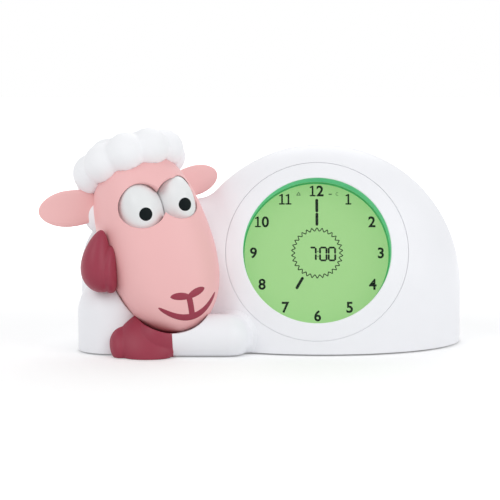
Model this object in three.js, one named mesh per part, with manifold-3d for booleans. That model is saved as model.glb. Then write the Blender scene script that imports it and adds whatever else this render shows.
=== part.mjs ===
// Kids alarm clock with night light: a lying sheep with a round lit clock face in its flank.
// Millimetres, +Z up, front towards -Y, +X to the viewer's right.
// The origin is the middle of the footprint, on the surface that the clock stands on.
import * as THREE from "three";
import { mergeVertices } from "three/addons/utils/BufferGeometryUtils.js";
import Module from "manifold-3d";

const wasm = await Module();
wasm.setup();

// Walls, gaps and overruns shared by all pieces
const bodyWall = 2.4;
const seatGap = 0.3;
const runningGap = 0.4;
const cutOverrun = 3;
const undersideZ = 1;
const sealDepth = 20;

// Body: a dome on the right, a shoulder on the left, and two forearms
const domeSpringZ = 33.5;
const domeRadius = 83;
const domeHalfDepth = 56;
const domeLeanShare = 0.1;
const shoulderX = -52;
const domeClearance = 11;
const domeX = shoulderX + domeClearance + domeRadius;
const shoulderSpringZ = 45;
const shoulderHalfWidth = 47;
const shoulderHalfDepth = 42;
const shoulderRise = 40;
const bodyBlend = 14;
const propArmX = -78;
const propArmY = -34;
const propArmTopZ = 23;
const propArmRadius = 20;
const foldedArmLeftX = -43.5;
const foldedArmRightX = -12;
const foldedArmInset = 6;
const foldedArmY = foldedArmInset - domeHalfDepth;
const foldedArmZ = 10;
const foldedArmRadius = 13;
const bodyCoreX = 6;
const bodyCoreZ = 30;
const bodySpokeShare = 1.25;
const partingY = 8;
const partingGap = 0.3;

// Head: an egg with superelliptic sections, leaned over and turned to the side
const headX = -64.5;
const headY = -18;
const headZ = 88.7;
const headRollDeg = 12.4;
const headYawDeg = 20.8;
const headCrownZ = 28;
const headChinZ = -80;
const headHalfWidth = 31.8;
const headFrontDepth = 28.5;
const headBackDepth = 25;
const headBackGrowthShare = 0.4;
const headWall = 2;
const headMidOffsetY = -14;
const headLeanY = 12.5;
const headTaperShare = -0.105;
const headSplitY = 6;
const neckHoleRadius = 11;
const neckHoleZ = -22;

// Wool: lumps in rings round the crown
const lumpRadius = 11.2;
const woolRingRadius = 22.5;
const woolRingFrontZ = 23;
const woolRingBackZ = 8;
const woolUpperRadius = 11;
const woolUpperZ = 23;
const woolTopZ = 24.5;
const woolNapeRadius = 21;
const woolNapeZ = -9;
const woolMidY = 3;
const woolRingLumps = 10;
const woolUpperLumps = 6;
const woolNapeLumps = 5;

// Ears
const earRootX = 22.5;
const earRootY = 3;
const earRootZ = -1.2;
const earLength = 36;
const earHalfHeight = 10.6;
const earHalfThickness = 4.6;
const earDish = 1.8;
const earSweepDeg = 22;
const leftEarRaiseDeg = 5;
const rightEarRaiseDeg = 0;

// Eyes: two lobes on one axle that rolls from open to closed
const eyeAxisY = -19.8;
const eyeAxisZ = -9.4;
const eyeRadius = 19.4;
const eyeMidShare = 0.3522;
const eyeHalfLengthShare = 0.371;
const eyeMidX = headHalfWidth * eyeMidShare;
const eyeHalfLength = headHalfWidth * eyeHalfLengthShare;
const eyeWall = 1.8;
const eyeWindowRadius = 12.4;
const eyeWindowTiltDeg = 14;
const eyeWindowDepth = 9;
const eyeInnerX = 1.6;
const eyeHalvesGap = 0.3;
const pupilRadius = 3.8;
const pupilDropZ = 4.9;
const pupilProud = 0.1;
const pupilThickness = 1.5;
const eyeHubRadius = 10;
const eyeHubHalfThickness = 1.3;
const eyeAxleRadius = 1.5;
const eyeMotorRadius = 5;
const eyeMotorStartX = 5;
const eyeMotorShaftLap = 1;
const eyeMotorNeckRadius = 2.2;
const eyeBearingGap = 0.5;
const eyeBearingX = eyeMidX + eyeHalfLength + eyeBearingGap;
const eyeAxleLap = 1.5;
const eyeAxleReach = eyeBearingX + eyeAxleLap;
const eyeMotorSetBack = 4.1;
const eyeMotorEndX = eyeBearingX - eyeMotorSetBack;
const eyeBearingHalfHeight = 7.5;
const eyeBearingFront = 3;
const eyeBearingBack = 16;

// Nose and mouth inlay
const noseZ = -59.3;
const noseLeafLength = 11;
const noseLeafHalfHeight = 2.1;
const noseLeafRaiseDeg = 14;
const noseStemHeight = 11.5;
const noseStemHalfWidth = 1.7;
const smileHalfWidth = 17.5;
const smileSag = 9.5;
const smileHalfThickness = 1.5;
const inlayDepth = 1.3;
const inlayProud = 0.1;

// Hooves: a large toe and a small toe each
const propHoof = { x: -83.8, y: -52, z: 48.8, rx: 10.6, ry: 12, rz: 14.5 };
const propToe = { x: -84.5, y: -49.5, z: 61, rx: 8, ry: 9.5, rz: 9.8 };
const restHoof = { x: -57, y: -54.5, z: 9.5, rx: 17, ry: 11, rz: 14.5, lean: 0.6 };
const restToe = { x: -71.5, y: -53.5, z: 7.5, rx: 7, ry: 9, rz: 10, lean: 0.5 };
const restHoofBaseZ = 0.3;

// Display: a round window sunk in the flank, leaned back with the dome
const displayAside = 3.2;
const displayInset = 14.5;
const displayRiseShare = 0.306;
const displayX = domeX - displayAside;
const displayY = displayInset - domeHalfDepth;
const displayZ = domeSpringZ + domeRadius * displayRiseShare;
const displayTiltDeg = 18;
const openingShare = 0.5072;
const openingRadius = domeRadius * openingShare;
const openingDepth = 11;
const lightRingWall = 1.6;
const bezelWidth = 10.1;
const bezelRadius = openingRadius + bezelWidth;
const windowThickness = 1.2;
const lcdThickness = 2;
const lightGuideThickness = 4;
const boardThickness = 1.6;
const carrierWall = 2.5;
const carrierFlangeInset = 1;
const carrierFlangeRadius = bezelRadius - carrierFlangeInset;
const carrierFlangeY = 6;
const carrierFlangeThickness = 2;

// Rear panel with its buttons and slide switch
const panelX = domeX;
const panelZ = 46;
const panelHalfWidth = 33;
const panelHalfHeight = 15;
const panelInset = 14;
const panelFaceY = domeHalfDepth - panelInset;
const panelThickness = 2;
const panelRim = 1.6;
const buttonRadius = 4;
const buttonProud = 2;
const buttonStem = 2;
const buttonFlange = 1.2;
const buttonFlangeThickness = 1.2;
const buttonPitchX = 16;
const buttonPitchZ = 13;
const buttonColumns = 3;
const buttonRowOffset = 22;
const buttonRowStartX = panelX - buttonRowOffset;
const buttonTravel = 1;
const switchOffset = 25;
const switchX = panelX + switchOffset;
const switchSlotHalfWidth = 2;
const switchTravel = 4;
const switchHalfWidth = 1.6;
const switchKnobHeight = 3.2;
const switchProud = 1.6;
const boardPostRadius = 1.8;
const boardPostOffsets = [-28.5, 18.3];
const domeSwitchRadius = 1.8;
const domeSwitchHeight = 0.9;

// Power inlet at the rear
const inletZ = 15;
const inletRadius = 5.2;
const inletInset = 2.3;
const inletFromBay = 14;
const inletLength = 12;
const inletBoreRadius = 3.2;
const inletBoreDepth = 9;
const inletPinRadius = 1.05;

// Base plate, feet and screws
const plateThickness = 2.4;
const footRadius = 6;
const footInsetX = 33;
const rightFootX = domeX + domeRadius - footInsetX;
const footPlaces = [[-74, -26], [-74, 22], [rightFootX, -24], [rightFootX, 24]];
const screwAnglesDeg = [-28, 28, 152, 205];
const screwBossRadius = 4.4;
const screwBossTopZ = 20;
const screwBossInset = 7.5;
const screwShankRadius = 1.4;
const screwHeadRadius = 2.8;
const screwHeadHeight = 1.1;
const screwLength = 12;

// Battery bay for three AA cells
const cellCount = 3;
const cellRadius = 7.25;
const cellLength = 50.5;
const cellPitch = 15.3;
const bayClearance = 5.2;
const bayY = -12;
const bayWall = 1.6;
const contactThickness = 0.8;
const contactRoom = 1.6;
const cellNubRadius = 2.7;
const cellNubLength = 1;
const doorThickness = 2;

// Main board and loudspeaker
const mainBoardStandoff = 0.3;
const mainBoardMargin = 4;
const chipSide = 12;
const chipHeight = 2;
const speakerInset = 29;
const speakerX = domeX + domeRadius - speakerInset;
const speakerY = 3;
const speakerRadius = 16;
const speakerHeight = 9;
const speakerMagnetRadius = 8;
const speakerMagnetHeight = 5;
const speakerRimWidth = 2.5;
const coneThickness = 0.8;
const coneDepth = 4;
const grilleHoleRadius = 1.5;
const grillePitch = 5;
const grilleRings = 2;
const grilleSpots = 6;

// Counts of steps along curves
const bodySpokes = 34;
const bodyRings = 18;
const innerSpokes = 22;
const innerRings = 10;
const headSpokes = 24;
const headRings = 16;
const headInnerSpokes = 16;
const headInnerRings = 10;
const lumpSpokes = 8;
const lumpRings = 6;
const armSpokes = 16;
const armRings = 4;
const earSpokes = 10;
const earRings = 8;
const hoofSpokes = 14;
const hoofRings = 8;
const eyeSides = 20;
const eyeSteps = 6;
const discSides = 36;
const roundSides = 18;
const smallSides = 12;
const holeSides = 6;
const strokeSteps = 5;
const castHalvings = 22;

// Powers of the superellipses, and the share of a turn
const headWidthPower = 2.35;
const headChinPower = 2.13;
const headDepthPower = 2.8;
const headSectionPower = 2.25;
const eyePower = 2.8;
const earPower = 2.4;
const strokePower = 4;
const turn = 2 * Math.PI;
const rad = Math.PI / 180;

// Colours and finishes
const finishes = {
  white: { color: 0xf2f2f5, roughness: 0.55 },
  pink: { color: 0xeebfbe, roughness: 0.6 },
  earPink: { color: 0xe8aeae, roughness: 0.6 },
  berry: { color: 0xa04256, roughness: 0.6 },
  eyeWhite: { color: 0xe6e8ea, roughness: 0.35 },
  black: { color: 0x1e282a, roughness: 0.3 },
  greenWall: { color: 0x71c894, roughness: 0.5 },
  greenGlass: { color: 0xa0d289, roughness: 0.25 },
  clear: { color: 0xf0fff0, roughness: 0.05, transparent: true, opacity: 0.25 },
  greyPlastic: { color: 0xb9bdc2, roughness: 0.5 },
  rubber: { color: 0xc9ccd0, roughness: 0.9 },
  board: { color: 0x2f6b3f, roughness: 0.6 },
  steel: { color: 0xc4c7cb, roughness: 0.35, metalness: 1 },
  cell: { color: 0x3c4650, roughness: 0.4, metalness: 0.3 },
  cone: { color: 0x2a2a2c, roughness: 0.8 },
};

// Nested groups: the clock, its leaning head and its leaning display
const clock = new THREE.Group();
const head = new THREE.Group();
head.position.set(headX, headY, headZ);
head.rotation.set(0, -headRollDeg * rad, headYawDeg * rad, "YZX");
head.updateMatrix();
const display = new THREE.Group();
display.position.set(displayX, displayY, displayZ);
display.rotation.x = -displayTiltDeg * rad;
display.updateMatrix();
clock.add(head, display);

// Solids and meshes

// A closed geometry as a solid, with its faces turned outwards.
function solid(geometry, frame) {
  const bare = geometry.clone();
  for (const name of ["normal", "uv"]) bare.deleteAttribute(name);
  if (frame) bare.applyMatrix4(frame);
  const merged = mergeVertices(bare);
  const triVerts = new Uint32Array(merged.index.array);
  const vertProperties = new Float32Array(merged.getAttribute("position").array);
  const made = new wasm.Manifold(new wasm.Mesh({ numProp: 3, vertProperties, triVerts }));
  if (made.volume() > 0) return made;
  triVerts.reverse();
  return new wasm.Manifold(new wasm.Mesh({ numProp: 3, vertProperties, triVerts }));
}

// A named mesh of a solid, added to the group whose frame it was made in.
function addPiece(group, name, shape, finish) {
  const { numProp, vertProperties, triVerts } = shape.getMesh();
  const points = new THREE.InterleavedBuffer(vertProperties, numProp);
  let geometry = new THREE.BufferGeometry();
  geometry.setAttribute("position", new THREE.InterleavedBufferAttribute(points, numProp, 0));
  geometry.setIndex(new THREE.BufferAttribute(triVerts, 1));
  geometry = geometry.toNonIndexed();
  geometry.computeVertexNormals();
  const mesh = new THREE.Mesh(geometry, new THREE.MeshStandardMaterial(finishes[finish]));
  mesh.name = name;
  group.add(mesh);
  return mesh;
}

function united(solids) {
  return solids.reduce((sum, next) => sum.add(next));
}

function box(x0, x1, y0, y1, z0, z1) {
  const shape = new THREE.BoxGeometry(x1 - x0, y1 - y0, z1 - z0);
  return shape.translate((x0 + x1) / 2, (y0 + y1) / 2, (z0 + z1) / 2);
}

function cylinderY(radius, x, z, y0, y1, sides) {
  const shape = new THREE.CylinderGeometry(radius, radius, y1 - y0, sides);
  return shape.translate(x, (y0 + y1) / 2, z);
}

function cylinderZ(radius, x, y, z0, z1, sides) {
  const shape = new THREE.CylinderGeometry(radius, radius, z1 - z0, sides).rotateX(Math.PI / 2);
  return shape.translate(x, y, (z0 + z1) / 2);
}

function cylinderX(radius, y, z, x0, x1, sides) {
  const shape = new THREE.CylinderGeometry(radius, radius, x1 - x0, sides).rotateZ(Math.PI / 2);
  return shape.translate((x0 + x1) / 2, y, z);
}

// A ring or cup turned about Y: pairs of [radius, y], closed on itself or on the axis.
function turnedY(profile, sides) {
  return new THREE.LatheGeometry(profile.map(([r, y]) => new THREE.Vector2(r, y)), sides);
}

function closedProfile(profile) {
  return [...profile, profile[0]];
}

// An ellipsoid whose sections move back by the lean for each millimetre of height.
function ellipsoid({ x, y, z, rx, ry, rz, lean = 0 }, spokes, rings) {
  const shape = new THREE.SphereGeometry(1, spokes, rings).rotateX(Math.PI / 2).scale(rx, ry, rz);
  return shape.applyMatrix4(new THREE.Matrix4().makeShear(0, 0, 0, 0, 0, lean)).translate(x, y, z);
}

// A flat outline drawn in X and Z, made thick along Y from y0 to y1.
function slabY(shape, y0, y1) {
  const options = { depth: y1 - y0, bevelEnabled: false, curveSegments: strokeSteps };
  return new THREE.ExtrudeGeometry(shape, options).rotateX(Math.PI / 2).translate(0, y1, 0);
}

// A closed surface on a grid: u runs from the lower pole to the upper one, v once round.
function closedSurface(rings, spokes, place) {
  const points = [...place(0, 0)];
  for (let i = 1; i < rings; i++) {
    for (let j = 0; j < spokes; j++) points.push(...place(i / rings, j / spokes));
  }
  points.push(...place(1, 0));
  const last = points.length / 3 - 1;
  const at = (i, j) => 1 + (i - 1) * spokes + (j % spokes);
  const faces = [];
  for (let j = 0; j < spokes; j++) {
    faces.push(0, at(1, j + 1), at(1, j));
    faces.push(last, at(rings - 1, j), at(rings - 1, j + 1));
    for (let i = 1; i < rings - 1; i++) {
      faces.push(at(i, j), at(i, j + 1), at(i + 1, j + 1));
      faces.push(at(i, j), at(i + 1, j + 1), at(i + 1, j));
    }
  }
  const geometry = new THREE.BufferGeometry();
  geometry.setAttribute("position", new THREE.Float32BufferAttribute(points, 3));
  return geometry.setIndex(faces);
}

// The body's surface

function smoothUnion(a, b, blend) {
  const share = THREE.MathUtils.clamp((b - a) / (2 * blend) + 1 / 2, 0, 1);
  return THREE.MathUtils.lerp(b, a, share) - blend * share * (1 - share);
}

// An upright wall up to the spring line, and half an ellipsoid above it.
function mound(p, x, springZ, halfWidth, halfDepth, rise) {
  const up = Math.max(0, p.z - springZ);
  return (Math.hypot((p.x - x) / halfWidth, p.y / halfDepth, up / rise) - 1) * halfDepth;
}

function bodyField(p) {
  const depth = domeHalfDepth - domeLeanShare * p.z;
  const dome = mound(p, domeX, domeSpringZ, domeRadius, depth, domeRadius);
  const shoulder = mound(p, shoulderX, shoulderSpringZ, shoulderHalfWidth, shoulderHalfDepth, shoulderRise);
  return smoothUnion(dome, shoulder, bodyBlend);
}

// The field divided by its slope, which is close to the true distance from the surface.
function bodyDistance(p) {
  const step = seatGap;
  const here = bodyField(p);
  const slope = ["x", "y", "z"].map((axis) => {
    const q = p.clone();
    q[axis] += step;
    return (bodyField(q) - here) / step;
  });
  return here / Math.hypot(...slope);
}

// Where a ray from the core leaves the body, drawn in by the inset and closed below the underside.
function castToSkin(direction, inset) {
  const core = new THREE.Vector3(bodyCoreX, 0, bodyCoreZ);
  let near = 0;
  let far = 2 * domeRadius;
  for (let i = 0; i < castHalvings; i++) {
    const reach = (near + far) / 2;
    const p = core.clone().addScaledVector(direction, reach);
    const outside = bodyDistance(p) > -inset || p.z < -sealDepth;
    if (outside) far = reach;
    else near = reach;
  }
  return core.addScaledVector(direction, far);
}

function bodySkin(inset, rings, spokes) {
  return closedSurface(rings, spokes, (u, v) => {
    const even = new THREE.Vector3().setFromSphericalCoords(1, Math.PI * (1 - u), v * turn);
    const direction = new THREE.Vector3(even.z * bodySpokeShare, even.x, even.y).normalize();
    return castToSkin(direction, inset);
  });
}

// The head's surface, in the head's own frame

const headHalfHeight = (headCrownZ - headChinZ) / 2;
const headMidZ = (headCrownZ + headChinZ) / 2;

// How full a section is at a share of the way from the middle to a pole.
function fullness(share, power) {
  return Math.max(0, 1 - Math.abs(share) ** power) ** (1 / power);
}

function superCosine(angle, power) {
  return Math.sign(Math.cos(angle)) * Math.abs(Math.cos(angle)) ** (2 / power);
}

function headSkin(inset, rings, spokes) {
  return closedSurface(rings, spokes, (u, v) => {
    const share = -Math.cos(Math.PI * u);
    const taper = 1 + headTaperShare * share;
    const widthPower = share > 0 ? headWidthPower : headChinPower;
    const width = (headHalfWidth - inset) * fullness(share, widthPower) * taper;
    const side = superCosine(v * turn, headSectionPower);
    const along = superCosine(v * turn - turn / 4, headSectionPower);
    const reach = along < 0 ? headFrontDepth : headBackDepth * (1 + headBackGrowthShare * share);
    return [
      width * side,
      headMidOffsetY + headLeanY * share + (reach - inset) * fullness(share, headDepthPower) * along,
      headMidZ + (headHalfHeight - inset) * share,
    ];
  });
}

// Shared solids

// The trunk with both forearms: one stands upright under the cheek, one lies folded in front.
function wholeBody(grow, frame) {
  const upright = propArmTopZ + sealDepth;
  const folded = foldedArmRightX - foldedArmLeftX;
  const propArm = new THREE.CapsuleGeometry(propArmRadius + grow, upright, armRings, armSpokes)
    .rotateX(Math.PI / 2).translate(propArmX, propArmY, propArmTopZ - upright / 2);
  const foldedArm = new THREE.CapsuleGeometry(foldedArmRadius + grow, folded, armRings, armSpokes)
    .rotateZ(Math.PI / 2).translate(foldedArmLeftX + folded / 2, foldedArmY, foldedArmZ);
  const trunk = bodySkin(-grow, bodyRings, bodySpokes);
  return united([trunk, propArm, foldedArm].map((part) => solid(part, frame)));
}

const bodyOuter = wholeBody(0);
const bodyInner = solid(bodySkin(bodyWall, innerRings, innerSpokes));
const bodyLining = bodySkin(bodyWall + seatGap, innerRings, innerSpokes);
const headOutset = headSkin(-seatGap, headRings, headSpokes);
const headLining = headSkin(headWall + seatGap, headInnerRings, headInnerSpokes);
const worldToHead = head.matrix.clone().invert();
const worldToDisplay = display.matrix.clone().invert();
const farAway = 3 * domeRadius;

function hoofPair(large, small) {
  return united([large, small].map((toe) => solid(ellipsoid(toe, hoofSpokes, hoofRings))));
}

// Body shells

function screwPlace(angleDeg, inset) {
  const direction = new THREE.Vector3(Math.cos(angleDeg * rad), Math.sin(angleDeg * rad), 0);
  const core = new THREE.Vector3(bodyCoreX, 0, undersideZ + plateThickness);
  const depth = bodyWall + inset;
  let reach = 2 * domeRadius;
  while (bodyDistance(core.clone().addScaledVector(direction, reach)) > -depth) reach -= seatGap;
  return core.addScaledVector(direction, reach);
}

function screwBosses() {
  const foot = undersideZ + plateThickness + seatGap;
  return screwAnglesDeg.map((angle) => {
    const at = screwPlace(angle, screwBossInset);
    const boss = cylinderZ(screwBossRadius, at.x, at.y, foot, screwBossTopZ, smallSides);
    return solid(boss).intersect(bodyOuter);
  });
}

function screwBores(radius, z0, z1) {
  return united(screwAnglesDeg.map((angle) => {
    const at = screwPlace(angle, screwBossInset);
    return solid(cylinderZ(radius, at.x, at.y, z0, z1, smallSides));
  }));
}

// The rear of the body at a place in front view, found by stepping inwards.
function rearSkinY(x, z) {
  let y = domeHalfDepth;
  while (bodyDistance(new THREE.Vector3(x, y, z)) > 0) y -= seatGap;
  return y;
}

function panelOutline(grow) {
  const shape = new THREE.Shape();
  const flat = panelHalfWidth - panelHalfHeight;
  const radius = panelHalfHeight + grow;
  shape.absarc(panelX + flat, panelZ, radius, -turn / 4, turn / 4, false);
  shape.absarc(panelX - flat, panelZ, radius, turn / 4, turn * 3 / 4, false);
  return shape;
}

function panelPrism(grow, y0, y1) {
  return solid(slabY(panelOutline(grow), y0, y1));
}

function wholeBodyShell() {
  const bosses = united(screwBosses());
  const cutBelow = solid(box(-farAway, farAway, -farAway, farAway, -farAway, undersideZ));
  const boreTop = screwLength + undersideZ + cutOverrun;
  return bodyOuter.subtract(bodyInner).add(bosses)
    .subtract(cutBelow)
    .subtract(screwBores(screwShankRadius, 0, boreTop))
    .subtract(solid(headOutset, head.matrix));
}

function largest(shape) {
  return shape.decompose().reduce((best, next) => (next.volume() > best.volume() ? next : best));
}

function addBodyShells() {
  const shell = wholeBodyShell();
  const halfGap = partingGap / 2;
  const frontHalf = solid(box(-farAway, farAway, -farAway, partingY - halfGap, -farAway, farAway));
  const rearHalf = solid(box(-farAway, farAway, partingY + halfGap, farAway, -farAway, farAway));
  const boreRadius = bezelRadius + seatGap;
  const bezelBore = cylinderY(boreRadius, 0, 0, -domeHalfDepth, openingDepth + cutOverrun, discSides);
  const front = shell.intersect(frontHalf).subtract(solid(bezelBore, display.matrix));
  const inletStart = partingY + cutOverrun;
  const inletBore = cylinderY(inletRadius + seatGap, inletX, inletZ, inletStart, farAway, smallSides);
  const rear = shell.intersect(rearHalf)
    .subtract(panelPrism(panelRim + seatGap, panelFaceY - panelThickness - cutOverrun, farAway))
    .subtract(solid(inletBore));
  addPiece(clock, "front_shell", largest(front), "white");
  addPiece(clock, "rear_shell", largest(rear), "white");
}

// Base plate with its grille and battery doorway, the feet and the screws

const cellInset = bayWall + seatGap + contactThickness + contactRoom;
const cellEndRoom = cellNubLength + seatGap + contactThickness + seatGap + bayWall;
const bayLengthX = cellInset + cellLength + cellEndRoom;
const bayEndX = speakerX - speakerRadius - bayClearance;
const bayX = bayEndX - bayLengthX;
const cellX = bayX + cellInset;
const bayDepthY = cellCount * cellPitch + 2 * bayWall;
const bayFloorZ = undersideZ + plateThickness + seatGap;
const inletX = bayX - inletFromBay;
const cellZ = bayFloorZ + seatGap + cellRadius;
const bayTopZ = cellZ + cellRadius + seatGap + bayWall;

function doorBox(grow, z0, z1) {
  return box(bayX + bayWall - grow, bayX + bayLengthX - bayWall + grow,
    bayY + bayWall - grow, bayY + bayDepthY - bayWall + grow, z0, z1);
}

function grilleHoles() {
  const holes = [[speakerX, speakerY]];
  for (let ring = 1; ring <= grilleRings; ring++) {
    const count = grilleSpots * ring;
    for (let i = 0; i < count; i++) {
      const angle = turn * i / count;
      const reach = ring * grillePitch;
      holes.push([speakerX + reach * Math.cos(angle), speakerY + reach * Math.sin(angle)]);
    }
  }
  const bottom = undersideZ - cutOverrun;
  const top = undersideZ + plateThickness + cutOverrun;
  const cutters = holes.map(([x, y]) => cylinderZ(grilleHoleRadius, x, y, bottom, top, holeSides));
  return united(cutters.map((cutter) => solid(cutter)));
}

function addBasePlate() {
  const top = undersideZ + plateThickness;
  const slab = solid(box(-farAway, farAway, -farAway, farAway, undersideZ, top));
  const plate = solid(bodyLining).intersect(slab)
    .subtract(solid(doorBox(0, undersideZ - cutOverrun, top + cutOverrun)))
    .subtract(grilleHoles())
    .subtract(screwBores(screwShankRadius + seatGap, 0, top + cutOverrun))
    .subtract(screwBores(screwHeadRadius + seatGap, 0, undersideZ + screwHeadHeight + seatGap));
  addPiece(clock, "base_plate", largest(plate), "greyPlastic");
}

function addFeet() {
  const names = ["left_front_foot", "left_rear_foot", "right_front_foot", "right_rear_foot"];
  names.forEach((name, i) => {
    const [x, y] = footPlaces[i];
    const foot = cylinderZ(footRadius, x, y, 0, undersideZ - seatGap, roundSides);
    addPiece(clock, name, solid(foot), "rubber");
  });
}

function addCaseScrews() {
  const z0 = undersideZ + seatGap / 2;
  const z1 = z0 + screwLength;
  screwAnglesDeg.forEach((angle, i) => {
    const { x, y } = screwPlace(angle, screwBossInset);
    const screwHead = cylinderZ(screwHeadRadius, x, y, z0, z0 + screwHeadHeight, smallSides);
    const shank = cylinderZ(screwShankRadius - seatGap, x, y, z0, z1, smallSides);
    addPiece(clock, "case_screw_" + (i + 1), solid(screwHead).add(solid(shank)), "steel");
  });
}

// Head

// Pairs of radius and place along the axle, from the inner end of a lobe to its outer pole.
function lobeProfile(grow) {
  const reach = eyeHalfLength + grow;
  const start = eyeInnerX - Math.max(0, grow);
  const points = [];
  for (let i = 0; i < eyeSteps; i++) {
    const x = start + (eyeMidX + reach - start) * (1 - Math.cos(Math.PI * i / eyeSteps)) / 2;
    points.push([(eyeRadius + grow) * fullness((x - eyeMidX) / reach, eyePower), x]);
  }
  return [...points, [0, eyeMidX + reach]];
}

// Turns a shape made about Y into one about the eye axis, for the eye on one side.
function onEyeAxis(geometry, side) {
  return geometry.rotateZ(-side * Math.PI / 2).translate(0, eyeAxisY, eyeAxisZ);
}

function eyeSolid(grow, side) {
  const outline = lobeProfile(grow);
  outline.unshift([0, outline[0][1]]);
  return solid(onEyeAxis(turnedY(outline, eyeSides), side));
}

function eyeWindow(side) {
  const barrel = cylinderY(eyeWindowRadius, 0, 0, -eyeWindowDepth, eyeWindowDepth, roundSides);
  const reach = eyeRadius - eyeWindowDepth / 2;
  const out = new THREE.Vector3(0, -Math.cos(eyeWindowTiltDeg * rad), Math.sin(eyeWindowTiltDeg * rad));
  barrel.rotateX(-eyeWindowTiltDeg * rad);
  return solid(barrel.translate(side * eyeMidX, eyeAxisY + out.y * reach, eyeAxisZ + out.z * reach));
}

// A round-ended stroke of even width along a curve drawn in X and Z.
function stroke(curve, halfWidth) {
  const outline = [];
  for (const side of [1, -1]) {
    for (let i = 0; i <= strokeSteps; i++) {
      const share = side > 0 ? i / strokeSteps : 1 - i / strokeSteps;
      const at = curve.getPoint(share);
      const tangent = curve.getTangent(share);
      const width = halfWidth * Math.sqrt(Math.max(0, 1 - (2 * share - 1) ** strokePower)) + inlayProud;
      outline.push(new THREE.Vector2(at.x - side * tangent.y * width, at.y + side * tangent.x * width));
    }
  }
  return new THREE.Shape(outline);
}

function noseAndMouthShapes(grow) {
  const shapes = [];
  for (const side of [1, -1]) {
    const tipX = side * noseLeafLength * Math.cos(noseLeafRaiseDeg * rad);
    const tipZ = noseZ + noseLeafLength * Math.sin(noseLeafRaiseDeg * rad);
    const root = new THREE.Vector2(-side * noseStemHalfWidth, noseZ);
    const leaf = new THREE.LineCurve(root, new THREE.Vector2(tipX, tipZ));
    shapes.push(stroke(leaf, noseLeafHalfHeight + grow));
  }
  const stemTop = new THREE.Vector2(0, noseZ + noseStemHalfWidth);
  const smileMidZ = noseZ - noseStemHeight;
  const stemFoot = new THREE.Vector2(0, smileMidZ - smileHalfThickness);
  shapes.push(stroke(new THREE.LineCurve(stemTop, stemFoot), noseStemHalfWidth + grow));
  const smile = new THREE.QuadraticBezierCurve(
    new THREE.Vector2(-smileHalfWidth, smileMidZ + smileSag),
    new THREE.Vector2(0, smileMidZ - smileSag),
    new THREE.Vector2(smileHalfWidth, smileMidZ + smileSag));
  shapes.push(stroke(smile, smileHalfThickness + grow));
  return shapes;
}

function noseAndMouth(grow) {
  const front = headMidOffsetY - headFrontDepth - headLeanY - cutOverrun;
  return united(noseAndMouthShapes(grow).map((shape) => solid(slabY(shape, front, headMidOffsetY))));
}

function addHeadShells() {
  const outer = solid(headSkin(0, headRings, headSpokes));
  const shell = outer.subtract(solid(headSkin(headWall, headInnerRings, headInnerSpokes)));
  const front = solid(box(-farAway, farAway, -farAway, headSplitY - partingGap / 2, -farAway, farAway));
  const back = solid(box(-farAway, farAway, headSplitY + partingGap / 2, farAway, -farAway, farAway));
  const pocket = noseAndMouth(seatGap).subtract(solid(headSkin(inlayDepth + seatGap, headRings, headSpokes)));
  const face = [1, -1].reduce(
    (shape, side) => shape.subtract(eyeSolid(runningGap, side)).subtract(eyeWindow(side)),
    shell.intersect(front).subtract(pocket));
  const neckHole = cylinderY(neckHoleRadius, 0, neckHoleZ, headSplitY, farAway, roundSides);
  addPiece(head, "face_shell", largest(face), "pink");
  addPiece(head, "head_back", largest(shell.intersect(back).subtract(solid(neckHole))), "pink");
  const inlay = noseAndMouth(0).intersect(solid(headSkin(-inlayProud, headRings, headSpokes)))
    .subtract(solid(headSkin(inlayDepth, headRings, headSpokes)));
  addPiece(head, "nose_and_mouth", largest(inlay), "berry");
}

// Ears: a superelliptic leaf whose front is dished, swept back and raised
function earSkin(side, raiseDeg, grow) {
  const skin = closedSurface(earRings, earSpokes, (u, v) => {
    const share = -Math.cos(Math.PI * u);
    const full = fullness(share, earPower);
    const height = (earHalfHeight + grow) * full * Math.sin(v * turn);
    const thick = (earHalfThickness + grow) * full * Math.cos(v * turn);
    const dish = Math.cos(v * turn) < 0 ? earDish * full * Math.cos(v * turn) ** 2 : 0;
    return [height, thick + dish, (earLength / 2 + grow) * share + earLength / 2];
  });
  skin.rotateY(Math.PI / 2);
  skin.rotateY(-raiseDeg * rad);
  skin.rotateZ(earSweepDeg * rad);
  if (side < 0) skin.scale(-1, 1, 1);
  return skin.translate(side * earRootX, earRootY, earRootZ);
}

function earSides() {
  return [
    ["left_ear", -1, leftEarRaiseDeg],
    ["right_ear", 1, rightEarRaiseDeg],
  ];
}

function addEars() {
  const body = wholeBody(seatGap, worldToHead);
  for (const [name, side, raise] of earSides()) {
    const ear = solid(earSkin(side, raise, 0)).subtract(solid(headOutset)).subtract(body);
    addPiece(head, name, largest(ear), "earPink");
  }
}

// Wool: a ring round the crown, a ring above it, one lump on top and a row down the nape
function woolPlaces() {
  const places = [[0, woolMidY, woolTopZ]];
  for (let i = 0; i < woolRingLumps; i++) {
    const angle = turn * (i + 1 / 2) / woolRingLumps - turn / 4;
    const front = (1 - Math.sin(angle)) / 2;
    const z = woolRingBackZ + (woolRingFrontZ - woolRingBackZ) * front;
    places.push([woolRingRadius * Math.cos(angle), woolMidY + woolRingRadius * Math.sin(angle), z]);
  }
  for (let i = 0; i < woolUpperLumps; i++) {
    const angle = turn * i / woolUpperLumps - turn / 4;
    const y = woolMidY + woolUpperRadius * Math.sin(angle);
    places.push([woolUpperRadius * Math.cos(angle), y, woolUpperZ]);
  }
  for (let i = 0; i < woolNapeLumps; i++) {
    const angle = turn / 2 * (i + 1 / 2) / woolNapeLumps;
    places.push([woolNapeRadius * Math.cos(angle), woolMidY + woolNapeRadius * Math.sin(angle), woolNapeZ]);
  }
  return places;
}

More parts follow.
